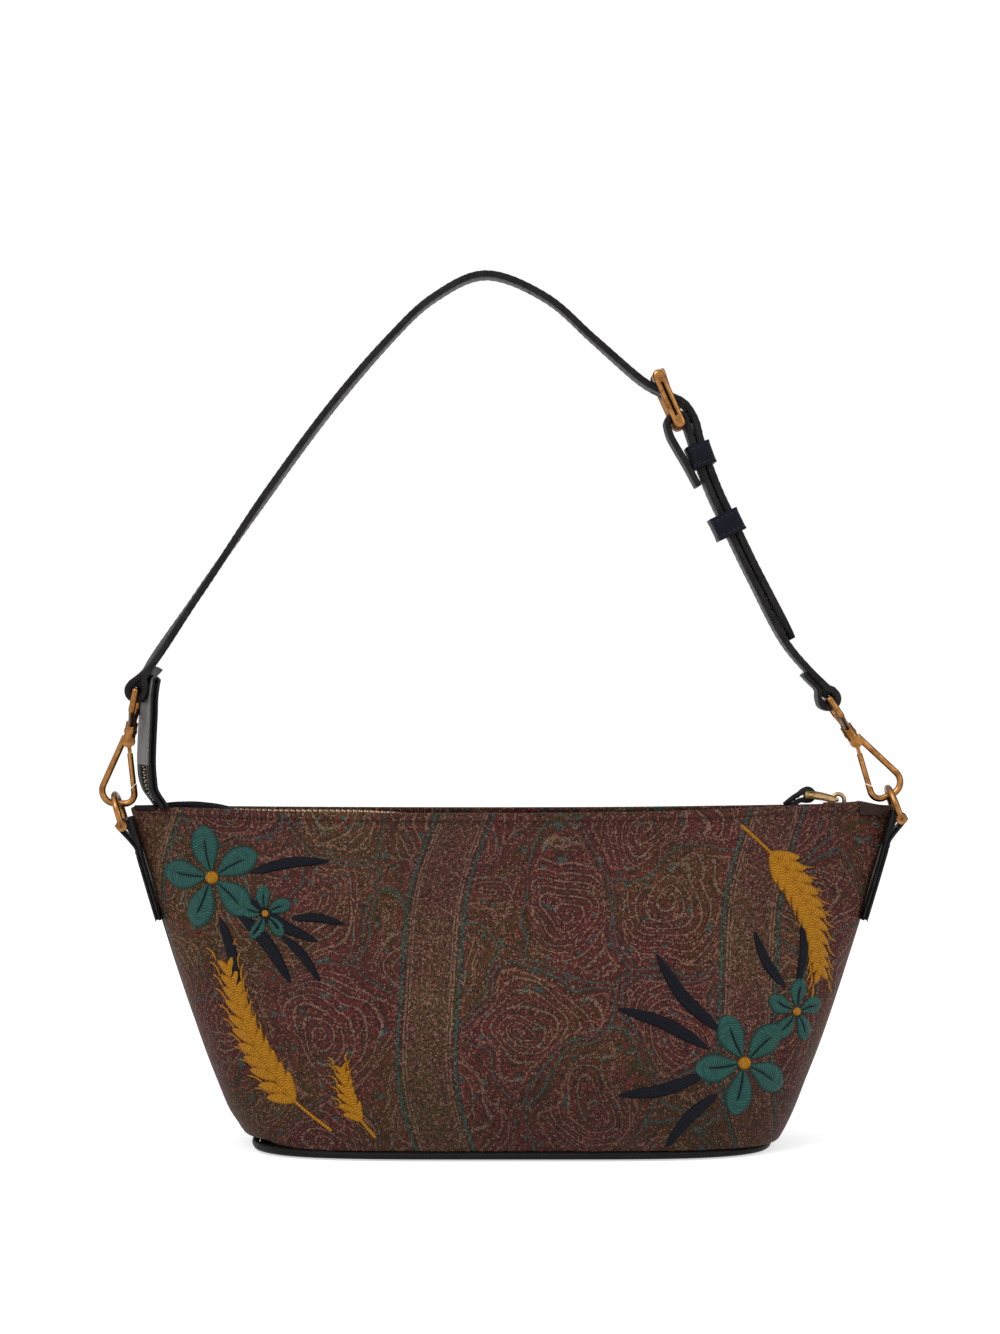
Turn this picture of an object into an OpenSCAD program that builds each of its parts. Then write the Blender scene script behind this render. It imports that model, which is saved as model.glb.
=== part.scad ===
// Zip-top shoulder bag: coated cloth body with leather trim, and a buckled leather strap
// held by two swivel snap hooks. Origin at the middle of the underside of the base,
// +X to the right of the front, +Y to the back, +Z up. Millimetres.

/* [Body] */
// Length of the mouth between the side seams
mouth_len = 290; // [260:1:320]
// Depth of the mouth at its middle
mouth_depth = 28; // [24:1:36]
// Length of the base
base_len = 196; // [170:1:220]
// Depth of the base
base_depth = 92; // [76:1:110]
// Height of the body
body_h = 127; // [110:1:145]
// Swell of the front and back at mid height
belly = 3; // [0:0.5:6]
// Thickness of the coated cloth shell
shell_t = 1.8; // [1.4:0.1:2.2]
// Thickness of the lining
lining_t = 0.8; // [0.5:0.1:1.2]
// Height of the leather facing inside the mouth
facing_h = 22; // [16:1:30]

/* [Base] */
// Thickness of the leather base
base_t = 2; // [1.6:0.1:2.6]
// Diameter of the piping round the base
piping_d = 2.8; // [2.2:0.1:3.4]
// Thickness of the stiffening board
board_t = 1.6; // [1:0.1:2.4]

/* [Inner pocket] */
// Width of the slip pocket
pocket_w = 110; // [80:1:130]
// Height of the slip pocket
pocket_h = 60; // [45:1:70]
// Thickness of the pocket cloth
pocket_t = 0.8; // [0.5:0.1:1.2]

/* [Zip] */
// Pitch of the teeth on one side
tooth_pitch = 2.15; // [1.9:0.05:2.5]
// Height of a tooth
tooth_h = 2.2; // [1.8:0.1:2.6]
// Thickness of the zip tape
tape_t = 0.6; // [0.4:0.1:0.8]
// Length of the slider
slider_len = 9; // [8:0.5:11]
// Width of the slider
slider_w = 7.2; // [6.6:0.1:7.6]
// Length of the metal puller
puller_len = 12; // [10:0.5:15]
// Width of the metal puller
puller_w = 5; // [4:0.2:6.4]
// Length of the leather pull tab
pull_tab_len = 12; // [10:0.5:13]

/* [Zip tail] */
// Height of the upright tail of the zip
tail_h = 46; // [40:1:52]
// Width of the tail
tail_w = 21; // [17:0.5:22]
// Turn of the tail about the upright, in degrees
tail_turn = 5; // [2:1:6]
// Length of bare zip below the leather on the tail
tail_bare = 14; // [10:0.5:18]

/* [Side tabs] */
// Width of the side tabs
side_tab_w = 12; // [10:0.5:12]
// Length of the side tabs
side_tab_len = 43; // [34:1:50]
// Thickness of the side tabs
side_tab_t = 3; // [2.4:0.1:3.6]
// Length of the leather cover over the right end of the zip
end_cover_len = 13.5; // [12:0.5:15]

/* [Rings and hooks] */
// Diameter of the ring wire
ring_wire_d = 2.5; // [2.2:0.1:2.7]
// Inner width of the rings
ring_w = 12.5; // [11.5:0.5:14]
// Height of the rings between wire middles
ring_h = 12.2; // [12:0.1:12.8]
// Diameter of the hook wire
hook_wire_d = 2.5; // [2.2:0.1:2.7]
// Reach of the hook from its rivet to its foot
hook_len = 23.8; // [22:0.2:25]
// Width of the hook at its foot
hook_w = 15.2; // [14.2:0.2:16]
// Length of the gate from its rivet to its tip
gate_len = 17; // [15.5:0.5:18]
// Distance from the hook's rivet to the bar of its eye
eye_reach = 19.5; // [18.5:0.5:21]
// Inner width of the eye
eye_w = 15.8; // [15.6:0.1:18]

/* [Strap] */
// Width of the strap
strap_w = 15; // [12:0.5:15.2]
// Thickness of the strap
strap_t = 2.8; // [2.4:0.1:3]
// Reach of the strap from its left end to the buckle
strap_reach = 200; // [190:1:210]
// Rise of the strap's arch above its left end
strap_rise = 158; // [150:1:170]
// Length of the folded tails at the strap's ends
fold_len = 13; // [9:0.5:16]
// Radius of the holes for the buckle's prong
punch_r = 1.3; // [1.1:0.1:1.5]

/* [Buckle and keepers] */
// Length of the buckle
buckle_len = 22.5; // [21:0.5:25]
// Diameter of the buckle's bars
buckle_bar_d = 3; // [2.6:0.1:3.4]
// Width of the buckle's side rails as seen from the front
buckle_rail_w = 4.4; // [3.8:0.1:5]
// Diameter of the prong
prong_d = 2; // [1.6:0.1:2.2]
// Length of the keepers along the strap
keeper_len = 9; // [7:0.5:11]
// Thickness of the keepers
keeper_t = 1.2; // [0.9:0.1:1.5]

/* [Hidden] */
$fn = 48;

// Gaps: between a pin and its bore, between soft layers, and round what moves
pin_gap = 0.05;
layer_gap = 0.15;
run_gap = 0.3;
// Overrun of every cut
cut = 1;

// Shape of the body's level outlines, as powers and shares
flare_share = 0.75;
base_square_share = 4.5;
mouth_square_share = 4;
base_corner_share = 3;
mouth_corner_share = 1;
base_end_share = 1;
mouth_end_share = 2.8;
wall_steps = 28;
wall_rings = 9;
lining_steps = 28;
lining_rings = 8;

function mix(a, b, s) = a + (b - a) * s;
function unit(v) = v / norm(v);
function half_len(s) = base_len / 2 + (mouth_len - base_len) / 2 * pow(max(s, 0), flare_share);
function half_depth(s) = mix(base_depth, mouth_depth, s) / 2 + belly * sin(180 * s);
function signed_power(v, p) = sign(v) * pow(abs(v), p);

// Level outline of the front half at the share s of the height, set in by inset,
// from the left seam to the right seam
function level_outline(s, inset, steps) = let(
    lx = half_len(s) - inset * mix(base_end_share, mouth_end_share, s),
    ly = half_depth(s) - inset,
    px = 2 / mix(base_square_share, mouth_square_share, s),
    py = 2 / mix(base_corner_share, mouth_corner_share, s))
    [for (i = [0:steps]) let(a = 180 * i / steps)
        [-lx * signed_power(cos(a), px), -ly * pow(abs(sin(a)), py)]];

// Depth of the front half of the mouth at x, set in by inset
function mouth_y(x, inset) = (mouth_depth / 2 - inset)
    * max(0, 1 - pow(abs(x) / (mouth_len / 2 - inset * mouth_end_share), mouth_square_share));

// A standing wall between two insets, from height z_low to z_high, front half
module front_wall(z_low, z_high, outer, inner, steps, rings) {
    across = steps + 1;
    layer = across * (rings + 1);
    points = [for (inset = [outer, inner]) for (j = [0:rings])
        let(z = mix(z_low, z_high, j / rings), ring = level_outline(z / body_h, inset, steps))
        for (p = ring) [p[0], min(p[1], 0), z]];
    function at(l, j, i) = l * layer + j * across + i;
    faces = [
        for (j = [0:rings - 1]) for (i = [0:steps - 1]) each [
            [at(0, j, i), at(0, j + 1, i), at(0, j + 1, i + 1)],
            [at(0, j, i), at(0, j + 1, i + 1), at(0, j, i + 1)],
            [at(1, j, i), at(1, j + 1, i + 1), at(1, j + 1, i)],
            [at(1, j, i), at(1, j, i + 1), at(1, j + 1, i + 1)]],
        for (i = [0:steps - 1]) each [
            [at(0, 0, i), at(0, 0, i + 1), at(1, 0, i + 1)],
            [at(0, 0, i), at(1, 0, i + 1), at(1, 0, i)],
            [at(0, rings, i), at(1, rings, i + 1), at(0, rings, i + 1)],
            [at(0, rings, i), at(1, rings, i), at(1, rings, i + 1)]],
        for (j = [0:rings - 1]) each [
            [at(0, j, 0), at(1, j, 0), at(1, j + 1, 0)],
            [at(0, j, 0), at(1, j + 1, 0), at(0, j + 1, 0)],
            [at(0, j, steps), at(1, j + 1, steps), at(1, j, steps)],
            [at(0, j, steps), at(0, j + 1, steps), at(1, j + 1, steps)]]];
    polyhedron(points, faces, convexity = 6);
}

// Whole level outline at the foot of the body, set in by inset
module foot_outline(inset) {
    front = level_outline(0, inset, wall_steps * 2);
    back = [for (i = [len(front) - 2:-1:1]) [front[i][0], -front[i][1]]];
    polygon(concat(front, back));
}

wall_foot = piping_d + layer_gap;
facing_foot = body_h - facing_h;
lining_in = shell_t + 2 * layer_gap;
lining_foot = base_t + board_t + 2 * layer_gap;

module front_panel() { color("#5a3a2e") front_wall(wall_foot, body_h, 0, shell_t, wall_steps, wall_rings); }
module back_panel() { color("#553629") mirror([0, 1, 0]) front_wall(wall_foot, body_h, 0, shell_t, wall_steps, wall_rings); }

module base_panel() {
    color("#15120f") linear_extrude(base_t) foot_outline(piping_d + layer_gap);
}

// The piping is one closed tube round the foot
piping_sides = 8;
module base_piping() {
    front = level_outline(0, piping_d / 2, wall_steps);
    loop = concat(front, [for (i = [len(front) - 2:-1:1]) [front[i][0], -front[i][1]]]);
    count = len(loop);
    points = [for (i = [0:count - 1]) let(
        along = unit(loop[(i + 1) % count] - loop[(i + count - 1) % count]),
        out = [along[1], -along[0]])
        for (k = [0:piping_sides - 1]) let(
            a = 360 * k / piping_sides,
            r = piping_d / 2)
            [loop[i][0] + out[0] * r * cos(a), loop[i][1] + out[1] * r * cos(a), r + r * sin(a)]];
    function at(i, k) = (i % count) * piping_sides + (k % piping_sides);
    faces = [for (i = [0:count - 1]) for (k = [0:piping_sides - 1]) each [
        [at(i, k), at(i, k + 1), at(i + 1, k + 1)],
        [at(i, k), at(i + 1, k + 1), at(i + 1, k)]]];
    color("#0f0d0c") polyhedron(points, faces, convexity = 6);
}

module base_board() {
    color("#a08a68") translate([0, 0, base_t + layer_gap])
        linear_extrude(board_t) foot_outline(shell_t * 2 + piping_d);
}

// Leather facings inside the mouth, and the cloth lining below them
facing_t = lining_t;
module front_facing_wall() {
    front_wall(facing_foot, slider_low - run_gap, lining_in, lining_in + facing_t, wall_steps, 3);
}
module front_facing() { color("#2a211d") front_facing_wall(); }
module back_facing() { color("#2a211d") mirror([0, 1, 0]) front_facing_wall(); }

module front_lining_wall() {
    front_wall(lining_foot, facing_foot - layer_gap, lining_in, lining_in + lining_t,
        lining_steps, lining_rings);
}
module front_lining() { color("#7a6a55") front_lining_wall(); }
module back_lining() { color("#7a6a55") mirror([0, 1, 0]) front_lining_wall(); }

base_lining_in = lining_in + lining_t + piping_d;
module base_lining() {
    color("#7a6a55") translate([0, 0, lining_foot])
        linear_extrude(lining_t) foot_outline(base_lining_in);
}

// Slip pocket sewn flat on the back lining
pocket_z = 34;
pocket_gap = 0.5;
pocket_rings = 5;
pocket_steps = 6;
module slip_pocket() {
    function back_y(x, z) = let(
        s = z / body_h,
        lx = half_len(s) - lining_in * mix(base_end_share, mouth_end_share, s),
        n = mix(base_square_share, mouth_square_share, s),
        k = mix(base_corner_share, mouth_corner_share, s))
        (half_depth(s) - lining_in - lining_t) * pow(1 - pow(abs(x) / lx, n), 1 / k);
    across = pocket_steps + 1;
    layer = across * (pocket_rings + 1);
    points = [for (deep = [pocket_gap, pocket_gap + pocket_t]) for (j = [0:pocket_rings])
        for (i = [0:pocket_steps]) let(
            x = mix(-pocket_w, pocket_w, i / pocket_steps) / 2,
            z = pocket_z + pocket_h * j / pocket_rings)
            [x, back_y(x, z) - deep, z]];
    function at(l, j, i) = l * layer + j * across + i;
    faces = [
        for (j = [0:pocket_rings - 1]) for (i = [0:pocket_steps - 1]) each [
            [at(1, j, i), at(1, j + 1, i), at(1, j + 1, i + 1)],
            [at(1, j, i), at(1, j + 1, i + 1), at(1, j, i + 1)],
            [at(0, j, i), at(0, j + 1, i + 1), at(0, j + 1, i)],
            [at(0, j, i), at(0, j, i + 1), at(0, j + 1, i + 1)]],
        for (i = [0:pocket_steps - 1]) each [
            [at(1, 0, i), at(1, 0, i + 1), at(0, 0, i + 1)],
            [at(1, 0, i), at(0, 0, i + 1), at(0, 0, i)],
            [at(1, pocket_rings, i), at(0, pocket_rings, i + 1), at(1, pocket_rings, i + 1)],
            [at(1, pocket_rings, i), at(0, pocket_rings, i), at(0, pocket_rings, i + 1)]],
        for (j = [0:pocket_rings - 1]) each [
            [at(1, j, 0), at(0, j, 0), at(0, j + 1, 0)],
            [at(1, j, 0), at(0, j + 1, 0), at(1, j + 1, 0)],
            [at(1, j, pocket_steps), at(0, j + 1, pocket_steps), at(0, j, pocket_steps)],
            [at(1, j, pocket_steps), at(1, j + 1, pocket_steps), at(0, j + 1, pocket_steps)]]];
    color("#6d5d49") polyhedron(points, faces, convexity = 4);
}

// The zip lies level in the mouth; its teeth stand a little above the cloth's edge
tooth_proud = 0.3;
zip_z = body_h + tooth_proud - tooth_h / 2;
tooth_in = tooth_h;
bead_w = 0.7;
bead_h = 1.2;
tooth_cross = 0.4;
zip_left_in = 19;
slider_in = 22;
zip_right_share = 0.9097;
teeth_under = 1;
zip_left = -mouth_len / 2 + zip_left_in;
slider_x = mouth_len / 2 - slider_in;
zip_right = mouth_len / 2 * zip_right_share;
teeth_right = slider_x - teeth_under;
tooth_len_share = 0.44;
tooth_len = tooth_pitch * tooth_len_share;
tape_steps = 24;

module half_tape() {
    edge = [for (i = [0:tape_steps]) let(x = mix(zip_left, zip_right, i / tape_steps))
        [x, -mouth_y(x, shell_t + layer_gap)]];
    back = [[zip_right, -tooth_in - layer_gap], [zip_left, -tooth_in - layer_gap]];
    translate([0, 0, zip_z - tape_t / 2]) linear_extrude(tape_t) polygon(concat(edge, back));
}
module front_zip_tape() { color("#141212") half_tape(); }
module back_zip_tape() { color("#141212") mirror([0, 1, 0]) half_tape(); }

// One row of teeth clamped on the bead of its tape
module half_teeth(shift) {
    count = floor((teeth_right - zip_left) / tooth_pitch);
    translate([zip_left, -tooth_in, zip_z - bead_h / 2])
        cube([teeth_right - zip_left, bead_w, bead_h]);
    for (i = [0:count - 1])
        translate([zip_left + (i + shift) * tooth_pitch, -tooth_in + bead_w / 2, zip_z - tooth_h / 2])
            cube([tooth_len, tooth_in - bead_w / 2 + tooth_cross, tooth_h]);
}
module front_zip_teeth() { color("#c79a4b") half_teeth(0); }
module back_zip_teeth() { color("#c79a4b") mirror([0, 1, 0]) half_teeth(0.5); }

slider_plate_t = 0.9;
slider_low = zip_z - tooth_h / 2 - run_gap - slider_plate_t;
slider_top = zip_z + tooth_h / 2 + run_gap + slider_plate_t;
bridge_r = 2.2;
bridge_wire_r = 0.8;
bridge_rise = 1;
bridge_z = slider_top + bridge_rise;
bridge_in = 1.2;
bridge_x = slider_x + bridge_in;
slider_round = 1.6;
post_r = 1.2;
module slider_plate(z) {
    translate([slider_x, 0, z]) linear_extrude(slider_plate_t) hull()
        for (x = [-1, 1]) for (y = [-1, 1])
            translate([x * (slider_len / 2 - slider_round), y * (slider_w / 2 - slider_round)])
                circle(slider_round, $fn = 32);
}
module zip_slider() {
    color("#c79a4b") {
        slider_plate(slider_low);
        slider_plate(slider_top - slider_plate_t);
        translate([slider_x + slider_len / 2 - post_r - slider_round / 2, 0, slider_low])
            cylinder(h = slider_top - slider_low, r = post_r);
        for (side = [-1, 1]) translate([bridge_x + side * bridge_r, 0, slider_top - slider_plate_t / 2])
            cylinder(h = bridge_z - slider_top + slider_plate_t / 2, r = bridge_wire_r);
        translate([bridge_x, 0, bridge_z]) rotate([90, 0, 0]) rotate_extrude(angle = 180)
            translate([bridge_r, 0]) circle(bridge_wire_r);
    }
}

// The puller's cross bar lies under the bridge, and its arms pass either side of it
puller_t = 1.3;
puller_bar_r = 0.7;
puller_pin_x = bridge_x - bridge_r + bridge_wire_r + puller_bar_r + 2 * pin_gap;
puller_pin_z = slider_top + puller_bar_r + 2 * layer_gap;
puller_tilt = 10;
puller_gap_w = 2 * (bridge_wire_r + run_gap);
puller_arm = bridge_r + bridge_wire_r + bridge_x - puller_pin_x + run_gap;
puller_end_bar = 1.4;
tab_ply = 1.5;
tab_gap = 0.6;
puller_slot_len = tab_ply + 2 * tab_gap;
puller_side_t = 0.8;
puller_slot_w = puller_w - 2 * puller_side_t;
module zip_puller() {
    color("#c79a4b") translate([puller_pin_x, 0, puller_pin_z]) rotate([0, puller_tilt, 0]) {
        rotate([90, 0, 0]) cylinder(h = puller_w - puller_bar_r, r = puller_bar_r, center = true);
        difference() {
            union() {
                translate([-puller_len + puller_w / 2, -puller_w / 2, -puller_t / 2])
                    cube([puller_len - puller_w / 2, puller_w, puller_t]);
                translate([-puller_len + puller_w / 2, 0, -puller_t / 2])
                    cylinder(h = puller_t, r = puller_w / 2);
            }
            translate([-puller_arm, -puller_gap_w / 2, -puller_t / 2 - cut])
                cube([puller_arm + cut, puller_gap_w, puller_t + 2 * cut]);
            translate([-puller_len + puller_end_bar, -puller_slot_w / 2, -puller_t / 2 - cut])
                cube([puller_slot_len, puller_slot_w, puller_t + 2 * cut]);
        }
    }
}

// Leather tab folded through the puller's slot and round its end bar
tab_fold_r = puller_end_bar / 2 + tab_gap;
tab_x = puller_pin_x - (puller_len - puller_end_bar / 2) * cos(puller_tilt);
tab_z = puller_pin_z + (puller_len - puller_end_bar / 2) * sin(puller_tilt);
tab_droop = 12;
module leather_pull_tab() {
    w = puller_slot_w - 2 * layer_gap;
    color("#17130f") translate([tab_x, 0, tab_z]) across(w) rotate(tab_droop) difference() {
        union() {
            circle(tab_fold_r + tab_ply);
            translate([-pull_tab_len, -tab_ply]) square([pull_tab_len, 2 * tab_ply]);
        }
        circle(tab_fold_r);
    }
}

// Smooth curve through a list of points, and ribbons laid along it
function curve_point(a, b, c, d, t) = 0.5 * (2 * b + (c - a) * t
    + (2 * a - 5 * b + 4 * c - d) * t * t + (3 * b - a - 3 * c + d) * t * t * t);
function smooth(p, steps) = let(n = len(p)) concat(
    [for (i = [0:n - 2]) for (k = [0:steps - 1])
        curve_point(p[max(i - 1, 0)], p[i], p[i + 1], p[min(i + 2, n - 1)], k / steps)],
    [p[n - 1]]);
function reversed(p) = [for (i = [len(p) - 1:-1:0]) p[i]];
function along(p, i) = unit(p[min(i + 1, len(p) - 1)] - p[max(i - 1, 0)]);
// Points at the distance d to the left of a line that runs forward
function beside(p, d) = [for (i = [0:len(p) - 1]) let(u = along(p, i)) p[i] + d * [-u[1], u[0]]];
module ribbon(p, low, high) { polygon(concat(beside(p, low), reversed(beside(p, high)))); }
// A profile drawn in X and Z becomes a solid of the given width across
module across(w) { rotate([90, 0, 0]) linear_extrude(w, center = true) children(); }
module rod(p, q, r) {
    d = q - p;
    translate(p) rotate([0, acos(d[2] / norm(d)), atan2(d[1], d[0])]) cylinder(h = norm(d), r = r);
}

// The tail of the zip rises from the left end of the mouth and stands turned
tail_in_x = 9.6;
tail_rise = 1.9;
tail_x = -mouth_len / 2 + tail_in_x;
tail_foot_z = body_h + tail_rise;
tail_top = body_h + tail_h;
tail_run = tail_top - tail_foot_z;
// share of the tail's foot length to the right of its top, and share of its height
tail_foot_len = 9.4;
tail_shares = [[1, 0], [0.66, 0.02], [0.3, 0.115], [0.05, 0.27], [-0.06, 0.53], [0.12, 1]];
tail_route = smooth([for (share = tail_shares)
    [tail_x + tail_foot_len * share[0], tail_foot_z + tail_run * share[1]]], 4);
tail_tape_route = [for (p = tail_route) if (p[1] < tail_top - tape_t) p];
tail_wrap_route = [for (p = tail_route) if (p[1] > tail_foot_z + tail_bare) p];
tail_ply = 1;
tail_in = tape_t / 2 + layer_gap / 3;
tail_out = tail_in + tail_ply;
module place_tail() { translate([tail_x, 0, 0]) rotate([0, 0, tail_turn]) translate([-tail_x, 0, 0]) children(); }
module zip_tail_tape() {
    color("#141212") place_tail() across(tail_w - tape_t)
        ribbon(tail_tape_route, -tape_t / 2, tape_t / 2);
}
module zip_tail_teeth() {
    count = floor((tail_bare - tooth_pitch) / tooth_pitch);
    color("#c79a4b") place_tail() for (i = [0:count - 1]) {
        z = tail_foot_z + tooth_pitch * (i + 1);
        p = lookup_route(tail_route, z);
        translate([p[0], 0, p[1]]) rotate([0, atan2(p[2], p[3]), 0])
            translate([-tail_in - tooth_h / 2, -tooth_in, -tooth_len / 2])
                cube([tooth_h / 2, 2 * tooth_in, tooth_len]);
    }
}
// Point of a rising route at the height z, with its direction
function lookup_route(p, z) = let(
    i = max([for (k = [0:len(p) - 2]) if (p[k][1] <= z) k]),
    s = (z - p[i][1]) / (p[i + 1][1] - p[i][1]),
    q = p[i] + (p[i + 1] - p[i]) * s,
    u = unit(p[i + 1] - p[i])) [q[0], q[1], u[0], u[1]];
module zip_tail_leather() {
    color("#1a1613") place_tail() across(tail_w) polygon(concat(
        beside(tail_route, -tail_out),
        [[tail_x, tail_top + tail_ply]],
        reversed(beside(tail_wrap_route, tail_out)),
        beside([for (p = tail_wrap_route) if (p[1] < tail_top) p], tail_in),
        reversed(beside([for (p = tail_route) if (p[1] < tail_top) p], -tail_in))));
}

// Leather saddle over the right end of the mouth
cover_drop = 5;
cover_ply = 0.9;
cover_ease = 0.8;
cover_steps = 12;
cover_from = mouth_len / 2 - end_cover_len - layer_gap;
cover_to = half_len(1 - cover_drop / body_h) - layer_gap;
module mouth_end(inset, from, to) {
    edge = [for (i = [0:cover_steps]) let(x = mix(from, to, i / cover_steps)) [x, mouth_y(x, 0) + inset]];
    polygon(concat([for (p = edge) [p[0], -p[1]]], reversed(edge)));
}
module zip_end_cover() {
    color("#1d1613") difference() {
        translate([0, 0, body_h - cover_drop]) linear_extrude(cover_drop + layer_gap + cover_ply)
            mouth_end(cover_ease + cover_ply, cover_from, cover_to);
        translate([0, 0, body_h - cover_drop - cut]) linear_extrude(cover_drop + cut + layer_gap)
            mouth_end(cover_ease, cover_from - cut, cover_to + cut);
    }
}

// Side tabs: leather folded over the bar of each ring and sewn down the side seam
bar_out = 2.2;
left_bar_drop = 7.1;
right_bar_drop = 4.4;
left_bar = [-mouth_len / 2 - bar_out, body_h - left_bar_drop];
right_bar = [mouth_len / 2 + bar_out, body_h - right_bar_drop];
bar_fold_r = ring_wire_d / 2 + layer_gap;
bar_ply = 1.7;
tab_steps = 10;
module side_tab(bar) {
    route = [for (i = [0:tab_steps]) let(z = mix(body_h - side_tab_len, bar[1], i / tab_steps))
        [-half_len(z / body_h) - layer_gap, z]];
    outer = [for (p = route) p - [side_tab_t, 0]];
    color("#120f0d") across(side_tab_w) difference() {
        union() {
            polygon(concat(route, reversed(outer)));
            translate(bar) circle(bar_fold_r + bar_ply);
        }
        translate(bar) circle(bar_fold_r);
    }
}
module left_side_tab() { side_tab(left_bar); }
module right_side_tab() { mirror([1, 0, 0]) side_tab([-right_bar[0], right_bar[1]]); }

// Rings: a bar held in the side tab, two legs and a round top
left_ring_lean = 17;
right_ring_lean = -20;
ring_boss_r = 2;
ring_boss_hole_r = 0.6;
module d_ring(bar, lean) {
    r = ring_wire_d / 2;
    round_r = ring_w / 2 + r;
    leg = ring_h - round_r;
    color("#b98a3e") translate([bar[0], 0, bar[1]]) rotate([0, lean, 0]) difference() {
        union() {
            rotate([90, 0, 0]) cylinder(h = 2 * round_r, r = r, center = true);
            for (y = [-1, 1]) translate([0, y * round_r, 0]) {
                cylinder(h = leg, r = r);
                rotate([90, 0, 0]) cylinder(h = 2 * r + layer_gap, r = ring_boss_r, center = true);
            }
            translate([0, 0, leg]) rotate([90, 0, 90]) rotate_extrude(angle = 180)
                translate([round_r, 0]) circle(r);
        }
        rotate([90, 0, 0]) cylinder(h = 2 * round_r + 4 * r + 2 * cut, r = ring_boss_hole_r, center = true);
    }
}
module left_d_ring() { d_ring(left_bar, -left_ring_lean); }
module right_d_ring() { d_ring(right_bar, right_ring_lean); }

// Snap hooks are drawn round their rivet with the gate hanging straight down,
// and then leaned and, on the right, mirrored
left_rivet_out = 0.5;
left_rivet_up = 24.7;
right_rivet_in = 14.1;
right_rivet_up = 24.5;
left_rivet = [-mouth_len / 2 - left_rivet_out, body_h + left_rivet_up];
right_rivet = [mouth_len / 2 - right_rivet_in, body_h + right_rivet_up];
left_lean = 6.3;
right_lean = 16.4;
stem_lean = 17;
hook_r = hook_wire_d / 2;
gate_slim = 0.15;
gate_r = hook_r - gate_slim;
boss_r = 2.3;
boss_w = 4.4;
knuckle_w = 1.8;
knuckle_r = 1.6;
rivet_r = 0.8;
rivet_head_r = 1.5;
rivet_head_t = 0.4;
gate_neck = 4.6;
gate_neck_share = 0.6;
gate_sweep = 22;
gate_slant = 35;
shoulder_in = 1;
shoulder_up = 2.2;
head_from = 1.4;
foot_rise_share = 0.08;
outer_bend_r = 5;
inner_bend_r = 3.6;
collar_r = 2.5;
collar_t = 1.6;
collar_at = 3.2;
post_pin_r = 1;
post_head_r = 1.7;
post_head_t = 0.7;
hub_r = 2.3;
hub_len = 2.6;
hub_at = collar_at + collar_t + 2 * pin_gap;
leg_in_share = 0.6;
leg_slim_share = 0.9;

module place_left_hook() { translate([left_rivet[0], 0, left_rivet[1]]) rotate([0, -left_lean, 0]) children(); }
module place_right_hook() {
    translate([right_rivet[0], 0, right_rivet[1]]) rotate([0, -right_lean, 0]) mirror([1, 0, 0]) children();
}
module on_stem() { rotate([0, stem_lean, 0]) children(); }
module cross_pin(h, r) { rotate([90, 0, 0]) cylinder(h = h, r = r, center = true); }
// a bend laps its straights by a degree, a hair thicker
bend_lap = 1;
bend_swell = 0.01;
function turn_of(u, v) = atan2(u[0] * v[1] - u[1] * v[0], u * v);
// A round wire along a line of corners in X and Z, each corner bent to its own radius
module bent_wire(p, bends, r) {
    n = len(p);
    slack = [for (i = [0:n - 1]) i == 0 || i == n - 1 ? 0 :
        bends[i] * tan(abs(turn_of(unit(p[i] - p[i - 1]), unit(p[i + 1] - p[i]))) / 2)];
    for (i = [0:n - 2]) {
        u = unit(p[i + 1] - p[i]);
        a = p[i] + u * slack[i];
        b = p[i + 1] - u * slack[i + 1];
        rod([a[0], 0, a[1]], [b[0], 0, b[1]], r);
    }
    for (i = [1:n - 2]) {
        u = unit(p[i] - p[i - 1]);
        th = turn_of(u, unit(p[i + 1] - p[i]));
        hand = sign(th);
        c = p[i] - u * slack[i] + bends[i] * hand * [-u[1], u[0]];
        from = atan2(-hand * u[0], hand * u[1]);
        translate([c[0], 0, c[1]]) rotate([90, 0, 0]) rotate([0, 0, (th < 0 ? from + th : from) - bend_lap])
            rotate_extrude(angle = abs(th) + 2 * bend_lap) translate([bends[i], 0]) circle(r + bend_swell);
    }
}

hook_corner = [-hook_w, -hook_len * (1 - foot_rise_share)];
hook_foot = [0, -hook_len];
hook_shoulder = [-shoulder_in, shoulder_up];
neck_r = gate_r * gate_neck_share;
module hook_body() {
    difference() {
        union() {
            bent_wire([hook_shoulder, hook_corner, hook_foot, [0, -gate_len + hook_r * tan(gate_slant)]],
                [0, outer_bend_r, inner_bend_r, 0], hook_r);
            cross_pin(boss_w, boss_r);
            on_stem() {
                translate([0, 0, head_from]) cylinder(h = collar_at - head_from, r = boss_w / 2);
                translate([0, 0, collar_at]) cylinder(h = collar_t, r = collar_r);
                cylinder(h = hub_at + hub_len + pin_gap, r = post_pin_r - pin_gap);
                translate([0, 0, hub_at + hub_len + pin_gap]) cylinder(h = post_head_t, r = post_head_r);
            }
        }
        cross_pin(boss_w + 2 * cut, rivet_r);
        // the slot that the gate's neck swings in
        cross_pin(knuckle_w + 2 * layer_gap, knuckle_r + layer_gap);
        for (turn = [0:gate_sweep / 2:gate_sweep]) rotate([0, turn, 0])
            translate([-neck_r - layer_gap, -knuckle_w / 2 - layer_gap, -gate_neck])
                cube([2 * (neck_r + layer_gap), knuckle_w + 2 * layer_gap, gate_neck]);
        // the slanted mouth that the gate's tip shuts against
        translate([0, 0, -gate_len - run_gap / 2]) rotate([0, -gate_slant, 0])
            translate([-hook_w / 4, -hook_w / 4, 0]) cube([hook_w / 2, hook_w / 2, hook_w / 4]);
    }
}
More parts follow.
